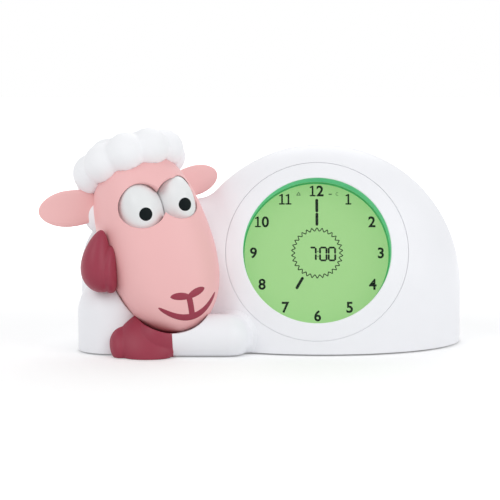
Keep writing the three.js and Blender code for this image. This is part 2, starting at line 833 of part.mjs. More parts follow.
function addWool() {
  const size = { rx: lumpRadius, ry: lumpRadius, rz: lumpRadius };
  const lumps = woolPlaces().map(([x, y, z]) => {
    return solid(ellipsoid({ x, y, z, ...size }, lumpSpokes, lumpRings));
  });
  let wool = united(lumps).subtract(solid(headOutset)).subtract(wholeBody(seatGap, worldToHead));
  for (const [, side, raise] of earSides()) wool = wool.subtract(solid(earSkin(side, raise, seatGap)));
  addPiece(head, "wool_cap", largest(wool), "white");
}

function addHooves() {
  const cut = solid(headOutset, head.matrix).add(wholeBody(seatGap));
  const ground = solid(box(-farAway, farAway, -farAway, farAway, -farAway, restHoofBaseZ));
  const raised = hoofPair(propHoof, propToe).subtract(cut);
  const resting = hoofPair(restHoof, restToe).subtract(cut).subtract(ground);
  addPiece(clock, "raised_hoof", largest(raised), "berry");
  addPiece(clock, "front_hoof", largest(resting), "berry");
}

// Eye mechanism

// A hollow lobe, open at its inner end against the hub and bored at its outer end.
function eyeLobe(side) {
  const boreRadius = side > 0 ? eyeMotorRadius + runningGap : eyeAxleRadius + seatGap;
  const [x0, x1] = side > 0 ? [0, farAway] : [-farAway, 0];
  const bore = cylinderX(boreRadius, eyeAxisY, eyeAxisZ, x0, x1, smallSides);
  const inner = lobeProfile(-eyeWall);
  const mouth = eyeInnerX - cutOverrun;
  const hollow = turnedY([[0, mouth], [inner[0][0], mouth], ...inner], eyeSides);
  return eyeSolid(0, side).subtract(solid(onEyeAxis(hollow, side))).subtract(solid(bore));
}

function pupilPlug(side, grow, depth) {
  const z = eyeAxisZ + eyeRadius * Math.sin(eyeWindowTiltDeg * rad) - pupilDropZ;
  const front = eyeAxisY - eyeRadius - cutOverrun;
  return solid(cylinderY(pupilRadius + grow, side * eyeMidX, z, front, eyeAxisY - depth, smallSides));
}

function addEyes() {
  const halfGap = eyeHalvesGap / 2;
  const open = solid(box(-farAway, farAway, -farAway, eyeAxisY - halfGap, -farAway, farAway));
  const shut = solid(box(-farAway, farAway, eyeAxisY + halfGap, farAway, -farAway, farAway));
  for (const [word, side] of [["left", -1], ["right", 1]]) {
    const lobe = eyeLobe(side);
    const ball = lobe.intersect(open).subtract(pupilPlug(side, seatGap, 0));
    addPiece(head, word + "_eyeball", ball, "eyeWhite");
    addPiece(head, word + "_eyelid", lobe.intersect(shut), "pink");
    const plug = pupilPlug(side, 0, 0).intersect(eyeSolid(pupilProud, side))
      .subtract(eyeSolid(-pupilThickness, side));
    addPiece(head, word + "_pupil", largest(plug), "black");
  }
  const halfHub = eyeHubHalfThickness;
  const hub = cylinderX(eyeHubRadius, eyeAxisY, eyeAxisZ, -halfHub, halfHub, eyeSides);
  const axle = cylinderX(eyeAxleRadius, eyeAxisY, eyeAxisZ, -eyeAxleReach, 0, smallSides);
  addPiece(head, "eye_axle", solid(hub).add(solid(axle)), "greyPlastic");
}

// The bearing plates fit the inside of the face at the ends of the eye axis.
function bearingPlate(side, boreRadius) {
  const x0 = side > 0 ? eyeBearingX : -headHalfWidth;
  const x1 = side > 0 ? headHalfWidth : -eyeBearingX;
  const plate = box(x0, x1, eyeAxisY - eyeBearingFront, eyeAxisY + eyeBearingBack,
    eyeAxisZ - eyeBearingHalfHeight, eyeAxisZ + eyeBearingHalfHeight);
  const bore = cylinderX(boreRadius, eyeAxisY, eyeAxisZ, -farAway, farAway, smallSides);
  return solid(plate).intersect(solid(headLining)).subtract(solid(bore));
}

function addEyeDrive() {
  const leftPlate = bearingPlate(-1, eyeAxleRadius + seatGap);
  const rightPlate = bearingPlate(1, eyeMotorNeckRadius + seatGap);
  addPiece(head, "left_eye_bearing", largest(leftPlate), "greyPlastic");
  addPiece(head, "right_eye_bearing", largest(rightPlate), "greyPlastic");
  const onAxis = (radius, x0, x1) => cylinderX(radius, eyeAxisY, eyeAxisZ, x0, x1, smallSides);
  const can = onAxis(eyeMotorRadius, eyeMotorStartX, eyeMotorEndX);
  const neck = onAxis(eyeMotorNeckRadius, eyeMotorStartX, eyeAxleReach);
  const shaftStart = eyeHubHalfThickness + seatGap;
  const shaft = onAxis(eyeAxleRadius, shaftStart, eyeMotorStartX + eyeMotorShaftLap);
  addPiece(head, "eye_motor", united([can, neck, shaft].map((part) => solid(part))), "steel");
}

// Display, in its own leaning frame: y is the depth behind the rim

function liningInDisplay(inset) {
  return solid(bodySkin(inset, innerRings, innerSpokes), worldToDisplay);
}

function disc(radius, y, thickness) {
  return solid(cylinderY(radius, 0, 0, y, y + thickness, discSides));
}

function addDisplay() {
  const tubeOuter = openingRadius + lightRingWall;
  const reachBack = openingDepth + cutOverrun;
  const wall = wholeBody(0, worldToDisplay).subtract(liningInDisplay(bodyWall));
  const ring = solid(cylinderY(bezelRadius, 0, 0, -domeHalfDepth / 2, reachBack, discSides));
  const hole = solid(cylinderY(openingRadius, 0, 0, -domeHalfDepth, domeHalfDepth, discSides));
  addPiece(display, "display_bezel", largest(wall.intersect(ring).subtract(hole)), "white");
  const tube = turnedY(closedProfile([
    [openingRadius, openingDepth], [openingRadius, -openingDepth],
    [tubeOuter, -openingDepth], [tubeOuter, openingDepth]]), discSides);
  const lining = liningInDisplay(bodyWall + seatGap);
  addPiece(display, "light_ring", largest(solid(tube).intersect(lining)), "greenWall");
  const stack = [
    ["display_window", windowThickness, "clear"],
    ["lcd_panel", lcdThickness, "greenGlass"],
    ["light_guide", lightGuideThickness, "clear"],
    ["backlight_board", boardThickness, "board"],
  ];
  let y = openingDepth + seatGap;
  for (const [name, thickness, finish] of stack) {
    addPiece(display, name, disc(tubeOuter, y, thickness), finish);
    y += thickness + seatGap;
  }
  const inner = tubeOuter + seatGap;
  const outer = inner + carrierWall;
  const flangeBack = carrierFlangeY + carrierFlangeThickness;
  const carrier = turnedY(closedProfile([
    [inner, y], [inner, carrierFlangeY], [carrierFlangeRadius, carrierFlangeY],
    [carrierFlangeRadius, flangeBack], [outer, flangeBack], [outer, y]]), discSides);
  addPiece(display, "display_carrier", largest(solid(carrier).intersect(lining)), "white");
}

// Rear panel, buttons and switch

const panelBackY = panelFaceY - panelThickness;
const buttonFlangeY = panelBackY - runningGap - buttonFlangeThickness;
const buttonEndY = buttonFlangeY - buttonStem;
const buttonBoardFaceY = buttonEndY - buttonTravel - seatGap - domeSwitchHeight;
const switchSlotHalfHeight = (switchKnobHeight + switchTravel) / 2;
const switchKnobZ = panelZ - switchTravel / 2;
const buttonNames = [
  "light_button", "alarm_button", "time_button",
  "nap_button", "minus_button", "plus_button",
];

function buttonPlace(i) {
  const column = i % buttonColumns;
  const row = Math.floor(i / buttonColumns);
  return [buttonRowStartX + column * buttonPitchX, panelZ + (1 / 2 - row) * buttonPitchZ];
}

function addRearPanel() {
  const tray = panelPrism(panelRim, panelBackY, farAway).intersect(bodyOuter)
    .subtract(panelPrism(0, panelFaceY, farAway));
  const holes = buttonNames.map((_, i) => {
    const [x, z] = buttonPlace(i);
    return solid(cylinderY(buttonRadius + seatGap, x, z, 0, farAway, smallSides));
  });
  const slotHalfHeight = switchSlotHalfHeight + runningGap;
  const slot = solid(box(switchX - switchSlotHalfWidth, switchX + switchSlotHalfWidth, 0, farAway,
    panelZ - slotHalfHeight, panelZ + slotHalfHeight));
  const posts = boardPostOffsets.map((offset) => {
    const start = buttonBoardFaceY + seatGap;
    const post = cylinderY(boardPostRadius, panelX + offset, panelZ, start, panelBackY, smallSides);
    return solid(post);
  });
  const panel = tray.subtract(united(holes)).subtract(slot).add(united(posts));
  addPiece(clock, "rear_panel", largest(panel), "white");
}

function addButtons() {
  buttonNames.forEach((name, i) => {
    const [x, z] = buttonPlace(i);
    const cap = cylinderY(buttonRadius, x, z, buttonEndY, panelFaceY + buttonProud, smallSides);
    const flange = cylinderY(buttonRadius + buttonFlange, x, z, buttonFlangeY,
      buttonFlangeY + buttonFlangeThickness, smallSides);
    addPiece(clock, name, solid(cap).add(solid(flange)), "greyPlastic");
  });
}

function addModeSwitch() {
  const halfHeight = switchKnobHeight / 2;
  const plateHalfWidth = switchSlotHalfWidth + buttonFlange;
  const knob = box(switchX - switchHalfWidth, switchX + switchHalfWidth, buttonFlangeY,
    panelFaceY + switchProud, switchKnobZ - halfHeight, switchKnobZ + halfHeight);
  const plate = box(switchX - plateHalfWidth, switchX + plateHalfWidth, buttonFlangeY,
    buttonFlangeY + buttonFlangeThickness, switchKnobZ - switchKnobHeight, switchKnobZ + switchKnobHeight);
  addPiece(clock, "mode_switch", solid(knob).add(solid(plate)), "black");
}

function addButtonBoard() {
  const board = panelPrism(-panelRim, buttonBoardFaceY - boardThickness, buttonBoardFaceY);
  const domes = buttonNames.map((_, i) => {
    const [x, z] = buttonPlace(i);
    const dome = cylinderY(domeSwitchRadius, x, z, buttonBoardFaceY - boardThickness / 2,
      buttonBoardFaceY + domeSwitchHeight, holeSides);
    return solid(dome);
  });
  addPiece(clock, "button_board", board.add(united(domes)), "board");
}

function addInlet() {
  const place = (radius, y0, y1, sides) => solid(cylinderY(radius, inletX, inletZ, y0, y1, sides));
  const faceY = rearSkinY(inletX, inletZ) - inletInset;
  const barrel = place(inletRadius, faceY - inletLength, faceY, smallSides);
  const bore = place(inletBoreRadius, faceY - inletBoreDepth, farAway, smallSides);
  const pinFoot = faceY - (inletLength + inletBoreDepth) / 2;
  const pin = place(inletPinRadius, pinFoot, faceY - seatGap, holeSides);
  addPiece(clock, "power_inlet", barrel.subtract(bore).add(pin), "black");
}

// Battery bay

function addBatteryBay() {
  const x1 = bayEndX;
  const y1 = bayY + bayDepthY;
  const outer = solid(box(bayX, x1, bayY, y1, bayFloorZ, bayTopZ));
  const room = solid(box(bayX + bayWall, x1 - bayWall, bayY + bayWall, y1 - bayWall, 0, bayTopZ - bayWall));
  addPiece(clock, "battery_box", outer.subtract(room), "greyPlastic");
  const door = solid(doorBox(-seatGap, undersideZ, undersideZ + doorThickness));
  addPiece(clock, "battery_door", door, "greyPlastic");
  for (let i = 0; i < cellCount; i++) {
    const y = bayY + bayWall + (i + 1 / 2) * cellPitch;
    const can = cylinderX(cellRadius, y, cellZ, cellX, cellX + cellLength, roundSides);
    const nub = cylinderX(cellNubRadius, y, cellZ, cellX, cellX + cellLength + cellNubLength, smallSides);
    addPiece(clock, "cell_" + (i + 1), solid(can).add(solid(nub)), "cell");
  }
  const bumps = (x0, x1b) => united(Array.from({ length: cellCount }, (_, i) => {
    const y = bayY + bayWall + (i + 1 / 2) * cellPitch;
    return solid(cylinderX(cellNubRadius, y, cellZ, x0, x1b, smallSides));
  }));
  const inset = bayWall + seatGap;
  const stripBox = (x0) => box(x0, x0 + contactThickness, bayY + inset, y1 - inset,
    bayFloorZ + seatGap, bayTopZ - inset);
  const leftX = bayX + inset;
  const rightX = x1 - inset - contactThickness;
  addPiece(clock, "contact_strip_left", solid(stripBox(leftX)).add(bumps(leftX, cellX - seatGap)), "steel");
  addPiece(clock, "contact_strip_right", solid(stripBox(rightX)), "steel");
}

function addMainBoard() {
  const z0 = bayTopZ + mainBoardStandoff;
  const z1 = z0 + boardThickness;
  const x1 = bayX + bayLengthX + mainBoardMargin;
  const y1 = bayY + bayDepthY;
  const board = solid(box(bayX - mainBoardMargin, x1, bayY - mainBoardMargin, y1, z0, z1));
  const chips = [-1, 1].map((side) => {
    const x = bayX + bayLengthX / 2 + side * chipSide;
    const y = bayY + bayDepthY / 2;
    const half = chipSide / 2;
    return solid(box(x - half, x + half, y - half, y + half, z0, z1 + chipHeight));
  });
  addPiece(clock, "main_board", board.add(united(chips)), "board");
}

function addSpeaker() {
  const floor = undersideZ + plateThickness + seatGap;
  const top = floor + speakerHeight;
  const place = (geometry) => solid(geometry.rotateX(Math.PI / 2).translate(speakerX, speakerY, 0));
  const inner = speakerRadius - speakerRimWidth;
  const basket = turnedY([
    [0, top - coneThickness], [speakerMagnetRadius, top - coneThickness], [inner, floor + speakerRimWidth],
    [inner, floor], [speakerRadius, floor], [speakerRadius, floor + speakerRimWidth],
    [speakerMagnetRadius + speakerRimWidth, top], [speakerMagnetRadius, top + speakerMagnetHeight],
    [0, top + speakerMagnetHeight]], roundSides);
  addPiece(clock, "speaker_basket", place(basket), "steel");
  const coneRim = inner - seatGap;
  const coneFoot = floor + seatGap;
  const neck = speakerMagnetRadius - speakerRimWidth;
  const under = coneFoot + coneDepth;
  const over = under + coneThickness;
  const cone = turnedY([
    [0, under], [neck, under], [coneRim - coneThickness, coneFoot],
    [coneRim, coneFoot], [neck, over], [0, over]], roundSides);
  addPiece(clock, "speaker_cone", place(cone), "cone");
}

// Puts the middle of the footprint at the origin, with the feet on the ground.
function centreOnFootprint() {
  const extent = new THREE.Box3().setFromObject(clock, true);
  const middle = extent.getCenter(new THREE.Vector3());
  clock.position.set(-middle.x, -middle.y, -extent.min.z);
}

addBodyShells();
addBasePlate();
addFeet();
addCaseScrews();
addHeadShells();
addEars();
addWool();
addHooves();
addEyes();
addEyeDrive();
addDisplay();
addRearPanel();
addButtons();
addModeSwitch();
addButtonBoard();
addInlet();
addBatteryBay();
addMainBoard();
addSpeaker();
centreOnFootprint();

export default clock;
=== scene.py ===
import math

import bpy
import numpy as np
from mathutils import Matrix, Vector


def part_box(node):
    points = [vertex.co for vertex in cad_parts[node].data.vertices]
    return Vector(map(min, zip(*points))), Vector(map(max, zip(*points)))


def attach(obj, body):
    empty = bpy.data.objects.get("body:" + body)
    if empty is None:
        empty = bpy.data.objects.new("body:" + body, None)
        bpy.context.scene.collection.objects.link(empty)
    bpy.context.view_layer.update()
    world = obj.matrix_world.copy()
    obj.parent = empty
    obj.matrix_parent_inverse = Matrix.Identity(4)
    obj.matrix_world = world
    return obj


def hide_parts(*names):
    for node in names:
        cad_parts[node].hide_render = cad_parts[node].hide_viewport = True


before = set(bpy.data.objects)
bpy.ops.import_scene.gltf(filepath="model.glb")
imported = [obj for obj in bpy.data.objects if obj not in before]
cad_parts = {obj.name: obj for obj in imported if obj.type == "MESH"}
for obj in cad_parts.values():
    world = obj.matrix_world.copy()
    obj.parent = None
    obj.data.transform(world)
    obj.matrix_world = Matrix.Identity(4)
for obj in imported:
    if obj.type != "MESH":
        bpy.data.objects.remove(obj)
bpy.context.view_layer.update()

# Camera and place of the clock.
# The clock is seen from the front and a little above, from about a metre away with a long lens.
# All sizes below are millimetres from the corner where the part was drawn; the feet give its place.
foot_low, foot_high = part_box("left_front_foot")
shift = np.array([(foot_low[0] + foot_high[0]) * 500 + 74, (foot_low[1] + foot_high[1]) * 500 + 26, 0.0])
view_tilt = math.radians(6.5)
view_distance = 1000.0
view_target = np.array([0.6, 0.0, 53.9])
camera_data = bpy.data.cameras.new("camera")
camera = bpy.data.objects.new("camera", camera_data)
bpy.context.scene.collection.objects.link(camera)
camera_place = view_target + view_distance * np.array([0, -math.cos(view_tilt), math.sin(view_tilt)])
camera.location = (camera_place + shift) * 0.001
camera.rotation_euler = (math.pi / 2 - view_tilt, 0, 0)
camera_data.lens = 121.6
camera_data.clip_start = 0.01
bpy.context.scene.camera = camera


# Housing: front and rear shells.
# Two halves injection moulded in white ABS with a fine satin texture, joined on an upright parting
# line. A tall dome holds the clock, a lower shoulder carries the head, and both forearms grow out of it.
dome_x, dome_spring, dome_radius, dome_depth, dome_lean = 42.0, 33.5, 83.0, 56.0, 0.1
shoulder_x, shoulder_spring, shoulder_width, shoulder_depth, shoulder_rise = -52.0, 45.0, 47.0, 42.0, 40.0
prop_arm = (np.array([-78.0, -34.0, -20.0]), np.array([-78.0, -34.0, 23.0]), 20.0)
folded_arm = (np.array([-43.5, -50.0, 10.0]), np.array([-12.0, -50.0, 10.0]), 13.0)
shell_wall = 2.4
parting = 8.0
parting_gap = 0.3
underside = 1.0
display_place = np.array([38.8, -41.5, 58.898])
display_tilt = math.radians(18)
opening_radius = 42.098
bezel_radius = 52.198
seat = 0.3
panel_x, panel_z, panel_half_width, panel_radius, panel_rim = 42.0, 46.0, 33.0, 15.0, 1.6
panel_floor = 42.0
inlet_x, inlet_z, inlet_radius = 2.0, 15.0, 5.2
head_place = np.array([-64.5, -18.0, 88.7])
head_roll, head_yaw = math.radians(12.4), math.radians(20.8)
crown, chin = 28.0, -80.0
head_width, front_depth, back_depth, back_growth = 31.8, 28.5, 25.0, 0.4
mid_offset, head_lean, head_taper = -14.0, 12.5, -0.105
head_middle, head_half = (crown + chin) / 2, (crown - chin) / 2
crown_power, chin_power, depth_power, section_power = 2.35, 2.13, 2.8, 2.25


def unit(way):
    """Directions at length 1."""
    return way / np.linalg.norm(way, axis=-1, keepdims=True)


def turned(p, angle, first, second):
    """Points turned by an angle in the plane of two axes, from the first towards the second."""
    c, s = math.cos(angle), math.sin(angle)
    q = list(np.moveaxis(p, -1, 0))
    q[first], q[second] = c * q[first] - s * q[second], s * q[first] + c * q[second]
    return np.stack(q, -1)


def soft_union(a, b, blend):
    """The smaller of two fields, rounded by a parabola where they differ by less than the blend."""
    share = np.clip((b - a) / (2 * blend) + 0.5, 0, 1)
    return b * (1 - share) + a * share - blend * share * (1 - share)


def mound(p, x, spring, width, depth, rise):
    """An elliptic wall up to the spring line and half an ellipsoid above it: (length - 1) times the depth."""
    up = np.maximum(0, p[..., 2] - spring)
    return (np.sqrt(((p[..., 0] - x) / width) ** 2 + (p[..., 1] / depth) ** 2 + (up / rise) ** 2) - 1) * depth


def rod(p, start, end, radius):
    """Distance from a straight rod with round ends."""
    along = end - start
    share = np.clip(((p - start) @ along) / (along @ along), 0, 1)
    return np.linalg.norm(p - start - share[..., None] * along, axis=-1) - radius


def trunk(p):
    """Dome and shoulder flowing into each other."""
    depth = dome_depth - dome_lean * p[..., 2]
    dome = mound(p, dome_x, dome_spring, dome_radius, depth, dome_radius)
    shoulder = mound(p, shoulder_x, shoulder_spring, shoulder_width, shoulder_depth, shoulder_rise)
    return soft_union(dome, shoulder, 14)


def housing(p):
    """The trunk with the two forearms flowing out of it."""
    arms = soft_union(rod(p, *prop_arm), rod(p, *folded_arm), 5)
    return soft_union(trunk(p), arms, 5)


def full(share, power):
    """How full a section is at a share of the way from the middle to a pole: a superellipse."""
    return np.maximum(0, 1 - np.abs(share) ** power) ** (1 / power)


def head_width_at(share):
    """Half-width of the head at a height share from chin (-1) to crown (1), with its taper."""
    power = np.where(share > 0, crown_power, chin_power)
    return head_width * full(share, power) * (1 + head_taper * share)


def head_field(p):
    """From the clock's frame to the head's, then about how far outside the head: (section length - 1) x 25."""
    q = turned(turned(p - head_place, -head_roll, 0, 2), -head_yaw, 0, 1)
    share = (q[..., 2] - head_middle) / head_half
    y = q[..., 1] - mid_offset - head_lean * share
    reach = np.where(y < 0, front_depth, back_depth * (1 + back_growth * share)) * full(share, depth_power)
    across = np.abs(q[..., 0]) / np.maximum(head_width_at(share), 0.01)
    along = np.abs(y) / np.maximum(reach, 0.01)
    return ((across ** section_power + along ** section_power) ** (1 / section_power) - 1) * 25


def dished(field):
    """A field with a dish for the head's back, whose edge runs a touch inside the head's skin."""
    return lambda p: np.maximum(field(p), -0.9 - head_field(p))


def chin_swept(field, inset):
    """A field cut back to an inset inside the head's skin and the room in front of it, which rises a little."""
    def cut(p):
        swept = [head_field(p + [0.0, back, -0.11 * back]) for back in (0, 2, 4, 7, 10, 13)]
        return np.maximum(field(p), -inset - np.minimum.reduce(swept))
    return cut


def halved(field, start, way, near, far, times):
    """Halves the stretch from an inside to an outside distance along each ray, and gives its inner end."""
    for _ in range(times):
        middle = (near + far) / 2
        inside = field(start + middle[..., None] * way) < 0
        near, far = np.where(inside, middle, near), np.where(inside, far, middle)
    return start + near[..., None] * way


def outermost(field, start, way, reach, steps=70):
    """Walks in along each ray to the first step that is inside, then halves that step: the outer crossing."""
    start, way = np.broadcast_arrays(start, unit(way))
    far = np.full(start.shape[:-1], float(reach))
    step = reach / steps
    found = np.zeros(start.shape[:-1], bool)
    for _ in range(steps):
        found |= field(start + far[..., None] * way) < 0
        far = np.where(found, far, far - step)
    return halved(field, start, way, far, far + step, 22)


def first_out(field, start, way, reach, steps=240):
    """Walks out along each ray to the first step that is outside, then halves that step: the inner crossing."""
    start, way = np.broadcast_arrays(start, unit(way))
    near = np.zeros(start.shape[:-1])
    step = reach / steps
    found = np.zeros(start.shape[:-1], bool)
    for _ in range(steps):
        found |= field(start + (near + step)[..., None] * way) > 0
        near = np.where(found, near, near + step)
    return halved(field, start, way, near, near + step, 20)


def from_display(q):
    """From the leaning display's frame to the clock's: turned about X and moved to the display's place."""
    return turned(q, -display_tilt, 1, 2) + display_place


def round_display(radius, depth, angle):
    """Places round the display's axis, in its own frame."""
    return np.stack([radius * np.cos(angle), depth + 0 * radius * angle, radius * np.sin(angle)], -1)


def skin_over_display(radius, angle):
    """Depth of the housing's skin, in the display's frame, at a radius and angle round its axis."""
    start = round_display(radius, 45.0, angle)
    return outermost(lambda q: trunk(from_display(q)), start, np.array([0.0, -1.0, 0.0]), 90)[..., 1]


def quads(rows, columns, round_rows=False, round_columns=True):
    """Corner numbers of the quads of a grid, each row or column closed on itself where it goes round."""
    i = np.arange(rows if round_rows else rows - 1)[:, None]
    j = np.arange(columns if round_columns else columns - 1)[None, :]
    a, b = i * columns, (i + 1) % rows * columns
    c, d = j, (j + 1) % columns
    return np.stack([a + c, a + d, b + d, b + c], -1).reshape(-1, 4)


def fans(rows, columns):
    """Two extra points, the middles of the first and last rows, each joined to its row by triangles."""
    low, high = rows * columns, rows * columns + 1
    j = np.arange(columns)
    k = (j + 1) % columns
    last = (rows - 1) * columns
    return np.concatenate([np.stack([k, j, low + 0 * j], -1), np.stack([last + j, last + k, high + 0 * j], -1)])


def capped(rows):
    """A tube of closed rows, with the middles of its first and last rows as its two ends."""
    ends = np.stack([rows[0].mean(0), rows[-1].mean(0)])
    count, columns = rows.shape[:2]
    return np.concatenate([rows.reshape(-1, 3), ends]), [quads(count, columns), fans(count, columns)]


def outward(points, faces):
    """The faces turned so that the volume they close, a sum of wedges from the middle, is positive."""
    points = points - points.mean(0)
    volume = 0.0
    for f in faces:
        for k in range(1, f.shape[1] - 1):
            volume += np.einsum("ij,ij->", points[f[:, 0]], np.cross(points[f[:, k]], points[f[:, k + 1]]))
    return [f[:, ::-1] for f in faces] if volume < 0 else faces


def joined(parts):
    """Closed surfaces as one, each turned outwards: points in a row, and corner numbers moved along."""
    all_points, all_faces, count = [], [], 0
    for points, faces in parts:
        all_points.append(points)
        all_faces += [f + count for f in outward(points, faces)]
        count += len(points)
    return np.concatenate(all_points), all_faces


def put_piece(name, points, faces, material, body=None, slot=None, stands_for=(), smooth=38.0, turn=True):
    """A mesh in the row frame from points in millimetres and lists of faces, with the faces turned outwards."""
    points = np.asarray(points, float).reshape(-1, 3)
    faces = [np.asarray(f) for f in (faces if isinstance(faces, list) else [faces])]
    if turn:
        faces = outward(points, faces)
    mesh = bpy.data.meshes.new(name)
    mesh.from_pydata(((points + shift) * 0.001).tolist(), [], [face for f in faces for face in f.tolist()])
    mesh.validate()
    mesh.polygons.foreach_set("use_smooth", [True] * len(mesh.polygons))
    mesh.set_sharp_from_angle(angle=math.radians(smooth))
    mesh.materials.append(material)
    piece = bpy.data.objects.new(name, mesh)
    bpy.context.scene.collection.objects.link(piece)
    if body:
        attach(piece, body)
    if stands_for:
        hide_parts(*stands_for)
    return piece


def srgb(r, g, b):
    """The linear colour of an 8-bit screen colour."""
    c = np.array([r, g, b]) / 255
    return tuple(np.where(c <= 0.04045, c / 12.92, ((c + 0.055) / 1.055) ** 2.4)) + (1.0,)


def new_material(name):
    """An empty material with its surface shader, and the two handles that the rest needs."""
    material = bpy.data.materials.new(name)
    material.use_nodes = True
    tree = material.node_tree
    return material, tree, tree.nodes["Principled BSDF"]


def link(tree, source, target):
    """A link from an output to an input."""
    tree.links.new(source, target)


def noise(tree, place, scale, detail=2):
    """Noise over the object's own place."""
    texture = tree.nodes.new("ShaderNodeTexNoise")
    texture.inputs["Scale"].default_value = scale
    texture.inputs["Detail"].default_value = detail
    link(tree, place, texture.inputs["Vector"])
    return texture.outputs["Fac"]


def ranged(tree, value, low, high, first=0.0, last=1.0):
    """A value spread from low, where it is first, to high, where it is last."""
    spread = tree.nodes.new("ShaderNodeMapRange")
    for socket, number in (("From Min", first), ("From Max", last), ("To Min", low), ("To Max", high)):
        spread.inputs[socket].default_value = number
    link(tree, value, spread.inputs["Value"])
    return spread.outputs["Result"]


def clouded(name, colour, scale, share):
    """A material with faint darker clouds, as moulded colour shows: noise mixes the colour with a darker self."""
    material, tree, surface = new_material(name)
    place = tree.nodes.new("ShaderNodeTexCoord").outputs["Object"]
    ramp = tree.nodes.new("ShaderNodeValToRGB")
    for end, position, part in zip(ramp.color_ramp.elements, (0.3, 0.7), (1 - share, 1)):
        end.position = position
        end.color = tuple(c * part for c in colour[:3]) + (1,)
    link(tree, noise(tree, place, scale, 3), ramp.inputs["Fac"])
    link(tree, ramp.outputs["Color"], surface.inputs["Base Color"])
    return material, tree, surface, place


def moulded(name, colour, roughness=0.42, grain=0.12, grain_scale=2600.0, share=0.02, gloss=0.35):
    """Moulded plastic: faint clouding, a satin grain as bump and a little unevenness in its roughness."""
    material, tree, surface, place = clouded(name, colour, 45.0, share)
    bump = tree.nodes.new("ShaderNodeBump")
    bump.inputs["Strength"].default_value = grain
    bump.inputs["Distance"].default_value = 0.00004
    link(tree, noise(tree, place, grain_scale), bump.inputs["Height"])
    link(tree, bump.outputs["Normal"], surface.inputs["Normal"])
    uneven = ranged(tree, noise(tree, place, 120.0), roughness - 0.04, roughness + 0.05)
    link(tree, uneven, surface.inputs["Roughness"])
    surface.inputs["Specular IOR Level"].default_value = gloss
    return material


def closed_grid(rows, columns, place):
    """A closed surface: rows between two poles, each row once round, from a function of u and v."""
    u = np.linspace(0, 1, rows + 1)[1:-1][:, None] + np.zeros((1, columns))
    v = np.linspace(0, 1, columns, endpoint=False)[None, :] + np.zeros((rows - 1, 1))
    grid = place(u, v)
    poles = np.stack([place(np.array(0.0), np.array(0.0)), place(np.array(1.0), np.array(0.0))])
    points = np.concatenate([grid.reshape(-1, 3), poles])
    return points, [quads(rows - 1, columns), fans(rows - 1, columns)]


white_abs = moulded("white_abs", srgb(246, 247, 251), 0.4)
core = np.array([20.0, parting, 55.0])
arch_columns, base_columns, shell_rows = 420, 220, 110


def split_turn(low, high):
    """Degrees once round: the arch's share from low to high, then the base's share round to low again."""
    return np.radians(np.concatenate([np.linspace(low, high, arch_columns, endpoint=False),
                                      np.linspace(high, low + 360, base_columns, endpoint=False)]))


def parting_line(level, last):
    """Outline of the trunk on its parting plane, then of its underside from half a turn to the last angle."""
    arch = np.linspace(0, math.pi, arch_columns, endpoint=False)
    base = np.linspace(math.pi, last, base_columns, endpoint=False)
    up = np.stack([np.cos(arch), 0 * arch, np.sin(arch)], -1)
    flat = np.stack([np.cos(base), np.sin(base), 0 * base], -1)
    return outermost(trunk, np.array([core[0], level, underside]), np.concatenate([up, flat]), 160)


def shell_grid(rim, boundary, rows, field):
    """Rays from the core through the lines from rim to boundary meet the skin; low ones level out to the base."""
    share = np.linspace(0, 1, rows)[:, None, None]
    aim = rim * (1 - share) + boundary * share
    level = np.clip(1 - (boundary[:, 2:] - underside) / 40, 0, 1) * (boundary[:, 2:] - core[2]) * share
    start = core + level * [0, 0, 1]
    skin = first_out(field, start, aim - start, 190)
    skin[..., 2] = np.maximum(skin[..., 2], underside)
    skin[0], skin[-1] = rim, boundary
    return skin


def with_wall(skin, wall, low, high, rim_way, field):
    """The skin, then its rows in reverse set in by the wall along the slope, turning to the rim's own way."""
    step = np.eye(3) * 0.01
    slope = unit(np.stack([field(skin + step[k]) - field(skin - step[k]) for k in range(3)], -1))
    share = np.clip(1 - np.arange(len(skin)) / 8, 0, 1)[:, None, None]
    inner = skin - wall * unit(slope * (1 - share) + np.asarray(rim_way) * share)
    return np.concatenate([skin, np.clip(inner, low, high)[::-1]])


rim_angle = split_turn(-34, 203)
rim_radius = bezel_radius + 0.08
rim = from_display(round_display(rim_radius, skin_over_display(rim_radius, rim_angle), rim_angle))
front_plane = parting - parting_gap / 2
front_skin = shell_grid(rim, parting_line(front_plane, 2 * math.pi), shell_rows, dished(trunk))
display_way = from_display(np.array([0.0, -1.0, 0.0])) - display_place
front_wall = with_wall(front_skin, shell_wall, [-200, -200, underside], [200, front_plane, 200], display_way,
                       dished(trunk)).reshape(-1, 3)


def forearm(start, end, radius):
    """Rays square to the rod, fanned at its ends, meet the housing, the swept chin or a stop inside the trunk."""
    start = np.maximum(start, [-200.0, -200.0, underside])
    along = unit(end - start)
    across = np.cross(along, [0.0, 1.0, 0.0])
    other = np.cross(along, across)

    def place(u, v):
        rise = (math.pi / 2 * (np.clip(4 * u - 1, -1, 0) + np.clip(4 * u - 3, 0, 1)))[..., None]
        slide = np.clip(2 * u - 0.5, 0, 1)[..., None]
        turn = (2 * math.pi * v)[..., None]
        way = np.cos(rise) * (np.cos(turn) * across + np.sin(turn) * other) + np.sin(rise) * along
        hit = first_out(chin_swept(housing, 0.8), start + slide * (end - start), way, 1.45 * radius, 90)
        hit[..., 2] = np.maximum(hit[..., 2], underside)
        return hit
    return closed_grid(200, 220, place)


front_shell = [(front_wall, [quads(2 * shell_rows, len(rim_angle), round_rows=True)]),
               forearm(*prop_arm), forearm(*folded_arm)]
put_piece("front_shell_skin", *joined(front_shell), white_abs, "housing", "shell_white", ["front_shell"])

stadium_turn = np.linspace(0, 2 * math.pi, 721)


